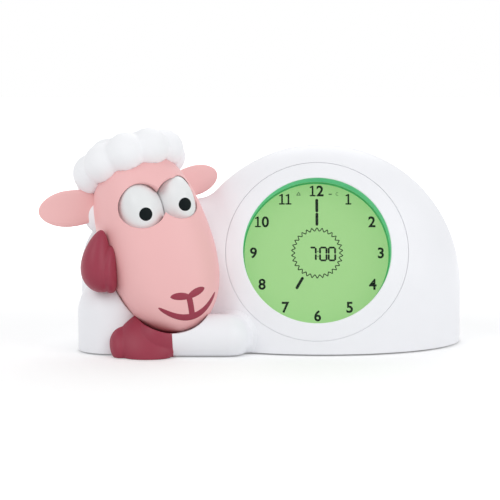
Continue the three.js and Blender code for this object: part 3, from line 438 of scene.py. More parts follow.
def stadium(angle, radius):
    """Outline of the rear recess at an angle round its centre: two half circles joined by straight sides."""
    flat = panel_half_width - panel_radius
    x = np.clip(radius * 1.6 * np.cos(stadium_turn) * 4, -flat, flat) + radius * np.cos(stadium_turn)
    z = radius * np.sin(stadium_turn)
    seen = np.unwrap(np.arctan2(z, x))
    turn = np.mod(angle, 2 * math.pi)
    return np.interp(turn, seen, x) + panel_x, np.interp(turn, seen, z) + panel_z


def flush_rear(x, z):
    """The housing's rear skin at a place in front view."""
    start = np.stack([x, 0 * x, z], -1)
    return outermost(housing, start, np.array([0.0, 1.0, 0.0]), 75)


def carve(piece, points, faces):
    """Takes the volume of a closed surface out of a piece for good, and keeps smooth shading."""
    cutter = put_piece("cutter", points, faces, piece.data.materials[0])
    cut = piece.modifiers.new("cut", "BOOLEAN")
    cut.operation = "DIFFERENCE"
    cut.solver = "EXACT"
    cut.object = cutter
    seen = piece.evaluated_get(bpy.context.evaluated_depsgraph_get())
    mesh = bpy.data.meshes.new_from_object(seen)
    piece.modifiers.clear()
    piece.data = mesh
    bpy.data.objects.remove(cutter)


def turned_y(profile, x, z, sides=48):
    """A profile of (radius, y) turned about an axis along Y, with its two ends closed."""
    profile = np.array(profile, float)
    turn = np.linspace(0, 2 * math.pi, sides, endpoint=False)
    return capped(np.stack([x + profile[:, :1] * np.cos(turn), profile[:, 1:] + 0 * turn,
                            z + profile[:, :1] * np.sin(turn)], -1))


def round_bar(radius, low, high, x=0, z=0, sides=48):
    """A closed round bar along Y."""
    return turned_y([(radius, low), (radius, high)], x, z, sides)


rear_rim_angle = split_turn(-28, 208)
rear_plane = parting + parting_gap / 2
rear_rim = flush_rear(*stadium(rear_rim_angle, panel_radius + panel_rim + seat))
rear_skin = shell_grid(rear_rim, parting_line(rear_plane, 0), shell_rows, trunk)
rear_wall = with_wall(rear_skin, shell_wall, [-200, rear_plane, underside], [200, 200, 200],
                      [0.0, 1.0, 0.0], trunk)
rear_shell = put_piece("rear_shell_skin", rear_wall, quads(2 * shell_rows, len(rear_rim_angle), round_rows=True),
                       white_abs, "housing", "shell_white", ["rear_shell"])
carve(rear_shell, *round_bar(inlet_radius + seat, 30, 80, inlet_x, inlet_z))


# Display bezel.
# A separate white ring pressed into the front shell round the clock face; its outer edge shows as a
# fine line and its inner edge rolls over into the recess. The same satin ABS as the shells.
bezel_turn = np.linspace(0, 2 * math.pi, 240, endpoint=False)
roll = np.linspace(0, math.pi / 2, 7)
bezel_profile = ([(bezel_radius, shell_wall), (bezel_radius, 0.5)]
                 + [(bezel_radius - 0.45 * (1 - math.cos(a)), 0.5 - 0.45 * math.sin(a)) for a in roll[1:]]
                 + [(r, 0.0) for r in np.linspace(bezel_radius - 0.9, opening_radius + 1.2, 12)]
                 + [(opening_radius + 0.9 * (1 - math.sin(a)), 0.9 * (1 - math.cos(a))) for a in roll]
                 + [(opening_radius + 1.9, 0.9), (opening_radius + 1.9, shell_wall)])
profile = np.array(bezel_profile)
bezel_depth = skin_over_display(profile[:, :1], bezel_turn) + profile[:, 1:]
put_piece("display_bezel_skin", from_display(round_display(profile[:, :1], bezel_depth, bezel_turn)),
          quads(len(profile), len(bezel_turn), round_rows=True), white_abs, "housing", "shell_white",
          ["display_bezel"])


# Light ring.
# A milky green tube behind the bezel that leads the night light round the recess; it is the green
# wall between the rim and the glass. Moulded in one piece and lit from behind by the board.
def lit_plastic(name, colour, glow, strength, roughness=0.5):
    """Milky plastic with light behind it: moulded colour and an even glow of its own."""
    material = moulded(name, colour, roughness, 0.06)
    surface = material.node_tree.nodes["Principled BSDF"]
    surface.inputs["Emission Color"].default_value = glow
    surface.inputs["Emission Strength"].default_value = strength
    return material


ring_green = lit_plastic("ring_green", srgb(98, 205, 155), srgb(112, 205, 160), 0.12)
# The darker, faintly glowing green below is painted shadow: it colours the thin dark line where the ring wall
# meets the panel.
shadow_line_green = lit_plastic("shadow_line_green", srgb(58, 160, 92), srgb(58, 165, 95), 0.2)
ring_wall = 1.6
ring_depth = 11.0
ring_front = skin_over_display(opening_radius, bezel_turn) + 1.0
ring_radii = np.array([0.04, 0.04, ring_wall, ring_wall])[:, None] + opening_radius
ring_depths = np.stack([ring_front, ring_depth + 0 * ring_front, ring_depth + 0 * ring_front, ring_front])
put_piece("light_ring_skin", from_display(round_display(ring_radii, ring_depths, bezel_turn)),
          quads(4, len(bezel_turn), round_rows=True), ring_green, "housing", "light_green", ["light_ring"])
# A thin darker band at the foot of the ring wall, lying on the panel's edge: a sheet of painted shadow for the
# corner where wall and panel meet.
shadow_line_radii = np.array([-0.7, 0.03, 0.03, -0.25])[:, None] + opening_radius
shadow_line_depths = np.array([12.74, 12.74, 11.5, 11.5])[:, None]
put_piece("ring_shadow_line", from_display(round_display(shadow_line_radii, shadow_line_depths, bezel_turn)),
          quads(4, len(bezel_turn), round_rows=True), shadow_line_green, "housing", "light_green")


# Clock face: window, liquid crystal panel and its print.
# A clear acrylic disc lies over a backlit green liquid crystal panel. The numerals, the two hands,
# the ring of rays and the small digits are dark segments in the panel.
def clear_acrylic():
    """Clear acrylic: mostly see-through, with the gloss of a polished face."""
    material, tree, surface, place = clouded("clear_acrylic", srgb(235, 250, 235), 30.0, 0.01)
    surface.inputs["Roughness"].default_value = 0.08
    surface.inputs["Alpha"].default_value = 0.012
    return material


def liquid_crystal():
    """Backlit liquid crystal: pale green with faint clouds and an even glow, partly the panel's backlight and
    partly painted light that evens out the shade of the recess wall.
    """
    material, tree, surface, place = clouded("liquid_crystal", srgb(99, 125, 86), 25.0, 0.03)
    surface.inputs["Roughness"].default_value = 0.3
    surface.inputs["Specular IOR Level"].default_value = 0.3
    # The glow stands for the backlight and is set high enough to also paint out the shade that the recess wall
    # casts on the panel.
    surface.inputs["Emission Color"].default_value = srgb(158, 212, 134)
    surface.inputs["Emission Strength"].default_value = 0.68
    return material


window_material = clear_acrylic()
lcd_material = liquid_crystal()
ink = moulded("segment_ink", srgb(12, 26, 16), 0.6, 0.03, gloss=0.05)
faint_ink = moulded("faint_ink", srgb(84, 120, 78), 0.5, 0.03)
lcd_face = 12.8


def print_shape(points, faces, store):
    """Adds a flat shape, drawn in x and z, to the shapes of one print."""
    count = sum(len(p) for p in store[0])
    store[0].append(np.asarray(points, float))
    store[1].extend([[count + k for k in face] for face in faces])


def bar(start, end, width, store):
    """A straight bar with round ends between two places on the dial."""
    start, end = np.array(start, float), np.array(end, float)
    way = unit(end - start)
    turn = np.linspace(-math.pi / 2, math.pi / 2, 9) + math.atan2(way[1], way[0])
    bow = width / 2 * np.stack([np.cos(turn), np.sin(turn)], -1)
    outline = np.concatenate([end - way * width / 2 + bow, start + way * width / 2 - bow])
    print_shape(outline, [list(range(len(outline)))], store)


def glyphs(text, x, z, height, store):
    """A word in Blender's own plain face, centred on a place and drawn to a capital height."""
    curve = bpy.data.curves.new("numeral", "FONT")
    curve.body = text
    curve.align_x = "CENTER"
    curve.resolution_u = 6
    curve.offset = 0.026
    lettering = bpy.data.objects.new("numeral", curve)
    bpy.context.scene.collection.objects.link(lettering)
    seen = lettering.evaluated_get(bpy.context.evaluated_depsgraph_get())
    mesh = bpy.data.meshes.new_from_object(seen)
    flat = np.empty(len(mesh.vertices) * 3)
    mesh.vertices.foreach_get("co", flat)
    flat = flat.reshape(-1, 3)[:, :2]
    faces = [list(p.vertices) for p in mesh.polygons]
    middle = (flat.max(0) + flat.min(0)) / 2
    scale = height / (flat[:, 1].max() - flat[:, 1].min())
    print_shape((flat - middle) * scale * [0.98, 1] + [x, z], faces, store)
    bpy.data.meshes.remove(mesh)
    bpy.data.objects.remove(lettering)
    bpy.data.curves.remove(curve)


dark = ([], [])
faint = ([], [])
numeral_circle, numeral_height = 36.6, 6.45
dial_middle = np.array([0.4, 0.6])


def one(x, z):
    """A slab-footed figure 1 out of three bars."""
    h = numeral_height / 2 - 0.45
    bar((x, z - h - 0.3), (x, z + h + 0.4), 1.0, dark)
    bar((x - 1.75, z - h), (x + 1.75, z - h), 0.8, dark)
    bar((x - 1.6, z + h - 0.8), (x + 0.3, z + h + 0.05), 0.75, dark)


for hour in range(1, 13):
    angle = math.radians(90 - 30 * hour)
    x, z = dial_middle + numeral_circle * np.array([math.cos(angle), math.sin(angle)])
    if hour in (1, 11):
        for step in ((0.0,) if hour == 1 else (-1.75, 1.95)):
            one(x + step, z)
    elif hour > 9:
        one(x - 2.35, z)
        glyphs(str(hour)[1], x + 1.95, z, numeral_height, dark)
    else:
        glyphs(str(hour), x, z, numeral_height, dark)
for inner, outer in [(16.0, 23.7), (23.9, 31.9)]:
    bar(dial_middle + [0, inner], dial_middle + [0, outer], 1.65, dark)
hour_way = np.array([math.sin(math.radians(210)), math.cos(math.radians(210))])
bar(dial_middle + hour_way * 16.3, dial_middle + hour_way * 24.3, 1.65, dark)
teeth = 30
ray_turn = np.linspace(0, 2 * math.pi, 2 * teeth, endpoint=False)
ray_radius = np.where(np.arange(2 * teeth) % 2 == 0, 14.9, 12.7)
ray_line = np.stack([ray_radius * np.sin(ray_turn), ray_radius * np.cos(ray_turn)], -1) + dial_middle
for k in range(2 * teeth):
    bar(ray_line[k], ray_line[(k + 1) % (2 * teeth)], 0.5, dark)


def segment_digit(lit, x, z, width, height, store):
    """Seven bars of a digit, lit by the letters a to g, clockwise from the top with g in the middle."""
    w, h, cut = width / 2, height / 2, 0.16
    ends = {"a": ((-w, h), (w, h)), "b": ((w, h), (w, 0)), "c": ((w, 0), (w, -h)), "d": ((-w, -h), (w, -h)),
            "e": ((-w, -h), (-w, 0)), "f": ((-w, 0), (-w, h)), "g": ((-w, 0), (w, 0))}
    for letter in lit:
        a, b = np.array(ends[letter][0]), np.array(ends[letter][1])
        way = unit(b - a)
        bar(a + way * cut + [x, z], b - way * cut + [x, z], 1.1, store)


digit_height = 7.5
segment_digit("abc", -2.0, 0.0, 3.2, digit_height, dark)
segment_digit("abcdef", 3.9, 0.0, 3.7, digit_height, dark)
segment_digit("abcdef", 8.9, 0.0, 3.7, digit_height, dark)
for dot in (-1.5, 1.5):
    bar((0.75, dot), (1.0, dot), 0.75, dark)
bar((-11.0, 34.8), (-10.1, 36.5), 0.4, faint)
bar((-10.1, 36.5), (-9.2, 34.8), 0.4, faint)
bar((-11.4, 34.7), (-8.8, 34.7), 0.4, faint)
bar((7.2, 35.2), (9.2, 35.2), 0.75, faint)
for k in range(6):
    a, b = math.radians(60 + 40 * k), math.radians(100 + 40 * k)
    bar((12.4 + 0.9 * math.cos(a), 35.4 + 0.9 * math.sin(a)), (12.4 + 0.9 * math.cos(b), 35.4 + 0.9 * math.sin(b)),
        0.3, faint)


def put_print(name, store, place, facing, material, body):
    """The collected flat shapes, laid in place by a function of (x, z), as a film facing the viewer."""
    flat = np.concatenate(store[0])
    points = (place(flat) + shift) * 0.001
    corners = [np.array(face) for face in store[1]]
    turned = []
    for face in corners:
        a, b, c = points[face[0]], points[face[1]], points[face[2]]
        area = sum(np.cross(points[face[k]] - a, points[face[k + 1]] - a) for k in range(1, len(face) - 1))
        turned.append((face if area @ facing > 0 else face[::-1]).tolist())
    mesh = bpy.data.meshes.new(name)
    mesh.from_pydata(points.tolist(), [], turned)
    mesh.materials.append(material)
    piece = bpy.data.objects.new(name, mesh)
    bpy.context.scene.collection.objects.link(piece)
    film = piece.modifiers.new("film", "SOLIDIFY")
    film.thickness = 0.00004
    film.offset = 1
    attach(piece, body)


def on_panel(flat):
    """From (x, z) on the dial to the face of the liquid crystal panel."""
    return from_display(np.stack([flat[:, 0], np.full(len(flat), lcd_face - 0.06), flat[:, 1]], -1))


put_print("dial_print", dark, on_panel, display_way, ink, "housing")
put_print("dial_icons", faint, on_panel, display_way, faint_ink, "housing")


# Head: face and skull.
# A long egg-shaped head moulded in pink ABS, leaned over to the left and turned a little to the
# middle. Two sockets let the eyes turn, and the wool cap hides the joint of its two halves.
eye_axis = np.array([0.0, -19.8, -9.4])
eye_radii = {-1: 19.0, 1: 18.4}
eye_middle, eye_shift, eye_joint, eye_end, eye_gap = 11.95, 2.95, 3.9, 23.1, 0.06
face_shift = 2.2
window_tilt = math.radians(20.6)
brow_place, brow_height, brow_spread = np.array([19.5, -27.3, 4.7]), 2.0, 5.5
eye_widest = {side: eye_middle + side * eye_shift for side in (-1, 1)}
# Each window's radius, its middle along the axle, its middle over the axle, and how deep it cuts.
windows = {-1: (13.2, -8.6, 5.1, 12), 1: (12.3, 12.7, 4.5, 9.3)}


def power_wave(wave, power):
    """A sine or cosine raised so that the section it draws is squarer than an ellipse."""
    return np.sign(wave) * np.abs(wave) ** (2 / power)


def from_head(p):
    """From the head's own frame to the clock's: turned by the yaw about Z, then by the roll about Y."""
    return turned(turned(p, head_yaw, 0, 1), head_roll, 0, 2) + head_place


def head_skin(u, v):
    """Superelliptic sections, u from chin to crown and v once round, plus a low bell-shaped brow over an eye."""
    share = -np.cos(math.pi * u)
    side = power_wave(np.cos(2 * math.pi * v), section_power)
    along = power_wave(np.sin(2 * math.pi * v), section_power)
    reach = np.where(along < 0, front_depth, back_depth * (1 + back_growth * share))
    p = np.stack([head_width_at(share) * side,
                  mid_offset + head_lean * share + reach * full(share, depth_power) * along,
                  head_middle + head_half * share], -1)
    bell = brow_height * np.exp(-((p - brow_place) ** 2).sum(-1) / (2 * brow_spread ** 2))
    return p + bell[..., None] * unit((p - eye_axis) * [0, 1, 1])


def face_front(x, z):
    """Depth of the face at a place in front view: the front half of head_skin solved for y."""
    share = (z - head_middle) / head_half
    across = np.clip(np.abs(x) / np.maximum(head_width_at(share), 1e-6), 0, 1)
    middle = mid_offset + head_lean * share
    return middle - front_depth * full(share, depth_power) * (1 - across ** section_power) ** (1 / section_power)


def lobe_radius(side, x, grow=0.0):
    """Radius of an eye about its axle at a distance outwards: an ellipse each side of the eye's widest place."""
    widest = eye_widest[side]
    reach = np.where(x < widest, 1.2 * (widest - side * eye_joint), eye_end + side * face_shift - widest) + grow
    return (eye_radii[side] + grow) * full(np.clip((x - widest) / reach, -1, 1), 2 if side < 0 else 1.9)


def eye_turned(side, grow, start, sweep, columns, rows=40):
    """A lobe turned about the eye axle: x along the axle, and an angle from straight ahead upwards."""
    end = eye_end + min(side, 0) * face_shift + grow
    inner = eye_gap + side * eye_joint - grow
    t = np.linspace(0, 0.97, rows)
    x = np.minimum(inner + (end - inner) * (1 - np.cos(math.pi * t)) / 2, end - 0.05)
    radius = lobe_radius(side, x, grow)
    angle = start + sweep * np.linspace(0, 1, columns, endpoint=abs(sweep) < 6.2)
    grid_x = x[:, None] + 0 * angle[None, :]
    return np.stack([side * grid_x, eye_axis[1] - radius[:, None] * np.cos(angle),
                     eye_axis[2] + radius[:, None] * np.sin(angle)], -1)


def head_core(u, v):
    """The head's skin drawn in by a third of a millimetre, which the wool is cut back to."""
    p = head_skin(u, v)
    return p - 0.3 * unit(p - [0.0, mid_offset, head_middle])


pink_abs = moulded("pink_abs", srgb(245, 191, 191), 0.45)
head_points, head_faces = closed_grid(150, 190, head_skin)
head_piece = put_piece("head_skin", from_head(head_points), head_faces, pink_abs, "housing", "face_pink",
                       ["face_shell", "head_back"])
socket_room, axle_room = 0.4, 2.4
for side in (-1, 1):
    points, faces = capped(eye_turned(side, socket_room, 0.0, 2 * math.pi, 72))
    carve(head_piece, from_head(points), faces)
    window_radius, window_x, window_height, window_depth = windows[side]
    points, faces = round_bar(window_radius, -12, window_depth, sides=96)
    window_out = np.array([window_x, eye_axis[1] - 16.2, eye_axis[2] + window_height])
    carve(head_piece, from_head(turned(points, -window_tilt, 1, 2) + window_out), faces)
points, faces = round_bar(axle_room, -26, 26, sides=24)
carve(head_piece, from_head(points[:, [1, 0, 2]] + eye_axis), faces)


# Nose and mouth.
# A dark pink inlay clipped into grooves of the face: two leaves and a stem make the nose, and one
# even curve makes the smile. It stands a touch proud of the pink.
berry_abs = moulded("berry_abs", srgb(154, 54, 74), 0.45)
nose_z = -59.8


def ribbon(line, half_width, steps=40, across=14, proud=0.28, sunk=1.0):
    """A closed strip along a line of (x, z), crowned across, with its ends drawn in, laid on the face."""
    t = np.linspace(0.004, 0.996, steps)
    at = line(t)
    way = unit(line(t + 0.002) - line(t - 0.002))
    square = np.stack([-way[:, 1], way[:, 0]], -1)
    width = half_width(t) * np.sqrt(np.maximum(0, 1 - (2 * t - 1) ** 12))
    turn = np.linspace(0, 2 * math.pi, across, endpoint=False)
    flat = at[:, None, :] + square[:, None, :] * (width[:, None] * np.cos(turn)[None, :])[..., None]
    crowned = np.where(np.sin(turn) >= 0, proud * np.sin(turn), sunk * np.sin(turn))
    lift = crowned[None, :] * (width / width.max())[:, None] ** 0.5
    x = flat[..., 0] + face_shift
    return capped(np.stack([x, face_front(x, flat[..., 1]) - lift, flat[..., 1]], -1))


def leaf(side):
    """From the stem outwards, rising evenly and bowed a little upwards, widest in its middle."""
    return ribbon(lambda t: np.stack([side * (-1.2 + 11.8 * t), nose_z + 2.7 * t + 1.6 * t * (1 - t)], -1),
                  lambda t: 2.1 * np.sin(math.pi * np.clip(t, 0, 1)) ** 0.5)


stem = ribbon(lambda t: np.stack([0 * t, nose_z + 1.0 - 12.6 * t], -1), lambda t: 1.75 + 0 * t)
smile = ribbon(lambda t: np.stack([17.8 * (2 * t - 1), nose_z - 11.2 + 9.6 * (2 * t - 1) ** 2], -1),
               lambda t: 0.9 + 1.0 * np.sin(math.pi * np.clip(t, 0, 1)))
points, faces = joined([leaf(-1), leaf(1), stem, smile])
put_piece("nose_and_mouth_skin", from_head(points), faces, berry_abs, "housing", "berry", ["nose_and_mouth"],
          smooth=60)


# Eyes.
# Each eye is a ball on the common axle: a white half in front, a pink half behind, and a black pupil.
# The motor inside turns both balls half round, so that the pink lids and their lash lines come forward.
eye_white = moulded("eye_white", srgb(238, 240, 241), 0.3, 0.04)
pupil_black = moulded("pupil_black", srgb(17, 25, 27), 0.5, 0.1, 1500.0, 0.15, gloss=0.08)
lash_black = moulded("lash_black", srgb(30, 30, 32), 0.5, 0.05)


def half_ball(name, side, start, material, slot, node):
    """Half a lobe as a closed skin, a hair inside the CAD half, with its wall turned inwards."""
    margin = 0.008
    rows = eye_turned(side, 0.0, start + margin, math.pi - 2 * margin, 90)
    faces = quads(rows.shape[0], rows.shape[1], round_columns=False)
    piece = put_piece(name, from_head(rows), faces if side < 0 else faces[:, ::-1], material, "eyes",
                      slot, [node], turn=False)
    thick = piece.modifiers.new("wall", "SOLIDIFY")
    thick.thickness = 0.0014
    thick.offset = -1


def on_ball(side, x, angle, proud):
    """A place on a lobe's skin at x along the axle and an angle from straight ahead upwards."""
    radius = lobe_radius(side, x) + proud
    return np.stack([side * x, eye_axis[1] - radius * np.cos(angle), eye_axis[2] + radius * np.sin(angle)], -1)


pupil_angle = math.radians(-0.5)
pupil_profile = [(3.8, -0.6), (3.8, 0.02), (3.72, 0.09), (3.5, 0.12), (2.4, 0.13), (1.2, 0.13), (0.2, 0.13)]
pupil_turn = np.linspace(0, 2 * math.pi, 48, endpoint=False)
lash_share = np.linspace(-1, 1, 30)[:, None]
lash_turn = np.linspace(0, 2 * math.pi, 12, endpoint=False)[None, :]
lash_half_length, lash_half_width = 5.2, 0.75
lash_width = lash_half_width * np.sqrt(np.maximum(0.02, 1 - lash_share ** 4))
for word, side in (("left", -1), ("right", 1)):
    half_ball(word + "_eyeball_skin", side, -math.pi / 2, eye_white, "eye_white", word + "_eyeball")
    half_ball(word + "_eyelid_skin", side, math.pi / 2, pink_abs, "face_pink", word + "_eyelid")
    pupil_rows = [on_ball(side, eye_widest[side] + radius * np.cos(pupil_turn),
                          pupil_angle + radius * np.sin(pupil_turn) / eye_radii[side], proud)
                  for radius, proud in pupil_profile]
    points, faces = capped(np.stack(pupil_rows))
    put_piece(word + "_pupil_skin", from_head(points), faces, pupil_black, "eyes", "eye_black",
              [word + "_pupil"], smooth=50)
    lash_angle = math.pi + window_tilt - (2.2 + 1.6 * lash_share) / eye_radii[side]
    points, faces = capped(on_ball(side, eye_widest[side] + lash_half_length * lash_share + 0 * lash_turn,
                                   lash_angle + lash_width * np.cos(lash_turn) / eye_radii[side],
                                   0.2 * np.sin(lash_turn) * lash_width / lash_half_width - 0.05))
    put_piece(word + "_lash", from_head(points), faces, lash_black, "eyes", "eye_black")


# Ears.
# Two soft-edged pink leaves moulded on a stub each, dished in front and swept back from the head.
ear_pink = moulded("ear_pink", srgb(250, 197, 196), 0.5)
ear_root = np.array([22.5, 3.0, -1.2])
ear_length, ear_half_thickness, ear_dish = 36.0, 4.6, 3.0
ear_sweep = math.radians(22)


def ear_skin(side, raise_degrees, half_height):
    """A superelliptic leaf along x, pressed in on its front side, raised about Y and swept back about Z."""
    def place(u, v):
        share = -np.cos(math.pi * u)
        fill = full(share, np.where(share > 0, 1.9, 2.5))
        height = half_height * fill * np.sin(2 * math.pi * v)
        front = np.cos(2 * math.pi * v)
        thick = ear_half_thickness * fill * front
        dish = np.where(front < 0, ear_dish * fill * front ** 2, 0)
        p = np.stack([ear_length / 2 * (share + 1), thick + dish, -height], -1)
        p = turned(turned(p, math.radians(raise_degrees), 0, 2), ear_sweep, 0, 1)
        return (p + ear_root) * [side, 1, 1]
    return place


for word, side, lift, half_height in (("left", -1, 5, 10.6), ("right", 1, 1, 8.8)):
    points, faces = closed_grid(60, 60, ear_skin(side, lift, half_height))
    put_piece(word + "_ear_skin", from_head(points), faces, ear_pink, "housing", "ear_pink", [word + "_ear"])


# Wool cap.
# One white moulding of rounded lumps that covers the crown and nape like a fleece, glued over the
# joint of the head. Its surface is a little rougher than the shells.
wool_white = moulded("wool_white", srgb(250, 251, 254), 0.55, 0.25, 900.0)
lump_radius = 11.6
wool_core = np.array([0.0, 3.0, 2.0])
lump_places = [(0, 3, 24.0)]
for i in range(10):
    angle = 2 * math.pi * (i + 0.5) / 10 - math.pi / 2
    lump_places.append((22.5 * math.cos(angle), 3 + 22.5 * math.sin(angle), 8 + 16.6 * (1 - math.sin(angle)) / 2))
for i in range(6):
    angle = 2 * math.pi * i / 6 - math.pi / 2
    lump_places.append((11 * math.cos(angle), 3 + 11 * math.sin(angle), 22.6))
for i in range(5):
    angle = math.pi * (i + 0.5) / 5
    lump_places.append((21 * math.cos(angle), 3 + 21 * math.sin(angle), -9))
lump_places = np.array(lump_places, float) + [0.0, 0.0, 1.0]


def fleece(p):
    """Balls that flow into each other over a millimetre or two, as one field in the head's frame."""
    value = np.full(p.shape[:-1], 1e3)
    for lump in lump_places:
        value = soft_union(np.linalg.norm(p - lump, axis=-1) - lump_radius, value, 1.4)
    return soft_union(value, np.linalg.norm(p - wool_core, axis=-1) - 14, 0.5)


def ball_way(u, v):
    """Directions from straight down at u 0 to straight up at u 1, with v once round."""
    flat = np.sin(math.pi * u)
    return np.stack([flat * np.cos(2 * math.pi * v), flat * np.sin(2 * math.pi * v), -np.cos(math.pi * u)], -1)


def wool_skin(u, v):
    """Rays from the middle of the skull meet the fleece."""
    return outermost(fleece, wool_core, ball_way(u, v), 60, 60)


points, faces = closed_grid(170, 260, wool_skin)
wool_cap = put_piece("wool_cap_skin", from_head(points), faces, wool_white, "housing", "shell_white",
                     ["wool_cap"], smooth=70)
points, faces = closed_grid(60, 80, head_core)
carve(wool_cap, from_head(points), faces)


# Hooves.
# Two dark pink mouldings, each a large toe and a small toe with a cleft between them: one under the
# cheek on the raised forearm, one flat on the table at the end of the folded forearm.
def claw_field(p, claw):
    """Rough distance from an egg: its sections lean back, shrink upwards and bow aside by the height squared."""
    middle, half, (lean, shrink, bow) = claw
    q = (p - np.array(middle)) / np.array(half)
    up = np.clip(q[..., 2], -1.5, 1.5)
    girth = 1 - shrink * up
    x = (q[..., 0] - bow * up ** 2 / half[0]) / girth
    y = (q[..., 1] - lean * q[..., 2] * half[2] / half[1]) / girth
    return (np.sqrt(x ** 2 + y ** 2 + q[..., 2] ** 2) - 1) * min(half)


def hoof(name, claws, node, under_chin):
    """Rays from the first claw's middle meet the claws, joined with a narrow soft cleft, or chin and floor."""
    middle = np.array(claws[0][0], float)

    def field(p):
        value = claw_field(p, claws[0])
        for claw in claws[1:]:
            value = soft_union(claw_field(p, claw), value, 0.3)
        return value

    def place(u, v):
        if not under_chin:
            return outermost(field, middle, ball_way(u, v), 45, 60)
        hit = first_out(chin_swept(field, 1.2), middle, ball_way(u, v), 36, 120)
        hit[..., 2] = np.maximum(hit[..., 2], 0.3)
        return hit
    points, faces = closed_grid(130, 200, place)
    put_piece(name, points, faces, berry_abs, "housing", "berry", [node], smooth=60)


# Each claw's middle, its half sizes, and how much it leans, shrinks and bows.
raised_claws = [((-85.2, -52, 53.5), (9.0, 12, 17.6), (0, 0.36, 2.4)),
                ((-79.0, -51.5, 48.9), (5.3, 11.5, 13.5), (0, 0.1, 1.6))]
front_claws = [((-57, -54.5, 9.5), (17, 11, 14.5), (0.6, 0, 0)),
               ((-71.5, -53.5, 7.5), (7, 9, 10), (0.5, 0, 0)),
               ((-51.0, -51.5, 9.5), (14.0, 14.3, 15.0), (0, 0, 0))]
hoof("raised_hoof_skin", raised_claws, "raised_hoof", False)
hoof("front_hoof_skin", front_claws, "front_hoof", True)


# Rear panel.
# A white tray let into the back of the housing, flush with it at the rim, with round holes for six
# buttons and a slot for the slide switch.
panel_turn = np.linspace(0, 2 * math.pi, 160, endpoint=False)
panel_back = panel_floor - 2.0
panel_outer = panel_radius + panel_rim
tray_rows = []
for radius, low, below in [(panel_outer, panel_back, None), (panel_outer, None, 0.4),
                           (panel_outer - 0.35, None, 0.08),
                           (panel_radius + 0.5, None, 0.08), (panel_radius + 0.12, None, 0.25),
                           (panel_radius, None, 0.7), (panel_radius, panel_floor + 0.6, None),
                           (panel_radius - 0.5, panel_floor, None), (5.0, panel_floor, None)]:
    x, z = stadium(panel_turn, radius)
    level = flush_rear(x, z)[:, 1] - below if low is None else np.full(len(x), low)
    tray_rows.append(np.stack([x, level, z], -1))
rear_panel = put_piece("rear_panel_skin", *capped(np.stack(tray_rows)), white_abs, "housing", "shell_white",
                       ["rear_panel"])
button_names = ["light", "alarm", "time", "nap", "minus", "plus"]
button_places = [(20.0 + 16.0 * (k % 3), panel_z + (0.5 - k // 3) * 13.0) for k in range(6)]
button_radius = 4.0
for x, z in button_places:
    carve(rear_panel, *round_bar(button_radius + seat, 30, 50, x, z))


def pillow(low, high, power=8.0, rows=24, columns=40):
    """A block with rounded edges: sines and cosines raised so that every section is nearly square."""
    low, high = np.array(low, float), np.array(high, float)

    def place(u, v):
        girth = power_wave(np.sin(math.pi * u), power)
        side = power_wave(np.cos(2 * math.pi * v), power) * girth
        along = power_wave(np.sin(2 * math.pi * v), power) * girth
        up = -power_wave(np.cos(math.pi * u), power)
        return (low + high) / 2 + (high - low) / 2 * np.stack([side, along, up + 0 * side], -1)
    return closed_grid(rows, columns, place)


switch_x, switch_z = 67.0, 44.0
carve(rear_panel, *pillow((switch_x - 2, 30, panel_z - 4), (switch_x + 2, 50, panel_z + 4), 12))


# Buttons.
# Six light grey caps of soft-touch plastic behind the panel, each with a flange that keeps it in and a
# small moulded mark on its domed face.
button_grey = moulded("button_grey", srgb(205, 209, 214), 0.55, 0.1)
mark_grey = moulded("mark_grey", srgb(120, 126, 134), 0.5, 0.05)


def arc_marks(store, radius, start, sweep, x=0, z=0, steps=12):
    """A thin curved line on a button as a chain of short bars."""
    turn = np.radians(np.linspace(start, start + sweep, steps + 1))
    places = np.stack([x + radius * np.cos(turn), z + radius * np.sin(turn)], -1)
    for a, b in zip(places[:-1], places[1:]):
        bar(a, b, 0.3, store)


sun_rays = [np.array([math.cos(math.radians(45 * k)), math.sin(math.radians(45 * k))]) for k in range(8)]
mark_arcs = {
    "light": [(0.8, 0, 360)],
    "alarm": [(1.1, 0, 180, 0, 0.2, 8)],
    "time": [(1.7, 0, 360, 0, 0, 16)],
    "nap": [(1.6, 60, 240), (1.35, 80, 200, 0.75, 0, 10)],
}
mark_bars = {
    "light": [(1.3 * way, 1.9 * way, 0.28) for way in sun_rays],
    "alarm": [((-1.1, 0.2), (-1.5, -1.0), 0.3), ((1.1, 0.2), (1.5, -1.0), 0.3), ((-1.7, -1.0), (1.7, -1.0), 0.3),
              ((-0.25, -1.6), (0.25, -1.6), 0.45)],
    "time": [((0, 0), (0, 1.1), 0.3), ((0, 0), (0.8, 0), 0.3)],
    "minus": [((-1.5, 0), (1.5, 0), 0.45)],
    "plus": [((-1.5, 0), (1.5, 0), 0.45), ((0, -1.5), (0, 1.5), 0.45)],
}
button_top = panel_floor + 2.0
flange_top = panel_back - 0.4
flange_radius = button_radius + 1.2
crown_turn = np.linspace(0, math.pi / 2, 6)
cap = ([(button_radius - 0.02, flange_top - 3.2), (button_radius - 0.02, flange_top - 1.2),
        (flange_radius, flange_top - 1.2), (flange_radius, flange_top), (button_radius, flange_top)]
       + [(button_radius - 0.5 + 0.5 * math.cos(a), button_top - 0.6 + 0.5 * math.sin(a)) for a in crown_turn]
       + [(2.6, button_top - 0.04), (1.2, button_top - 0.01)])
for (x, z), name in zip(button_places, button_names):
    points, faces = turned_y(cap, x, z)
    put_piece(name + "_button_skin", points, faces, button_grey, name + "_button_body", "grey_plastic",
              [name + "_button"], smooth=45)
    marks = ([], [])
    for arc in mark_arcs.get(name, []):
        arc_marks(marks, *arc)
    for start, end, width in mark_bars.get(name, []):
        bar(start, end, width, marks)
    put_print(name + "_button_mark", marks,
              lambda flat, x=x, z=z: np.stack([x - flat[:, 0], 0 * flat[:, 0] + button_top, z + flat[:, 1]], -1),
              np.array([0.0, 1.0, 0.0]), mark_grey, name + "_button_body")


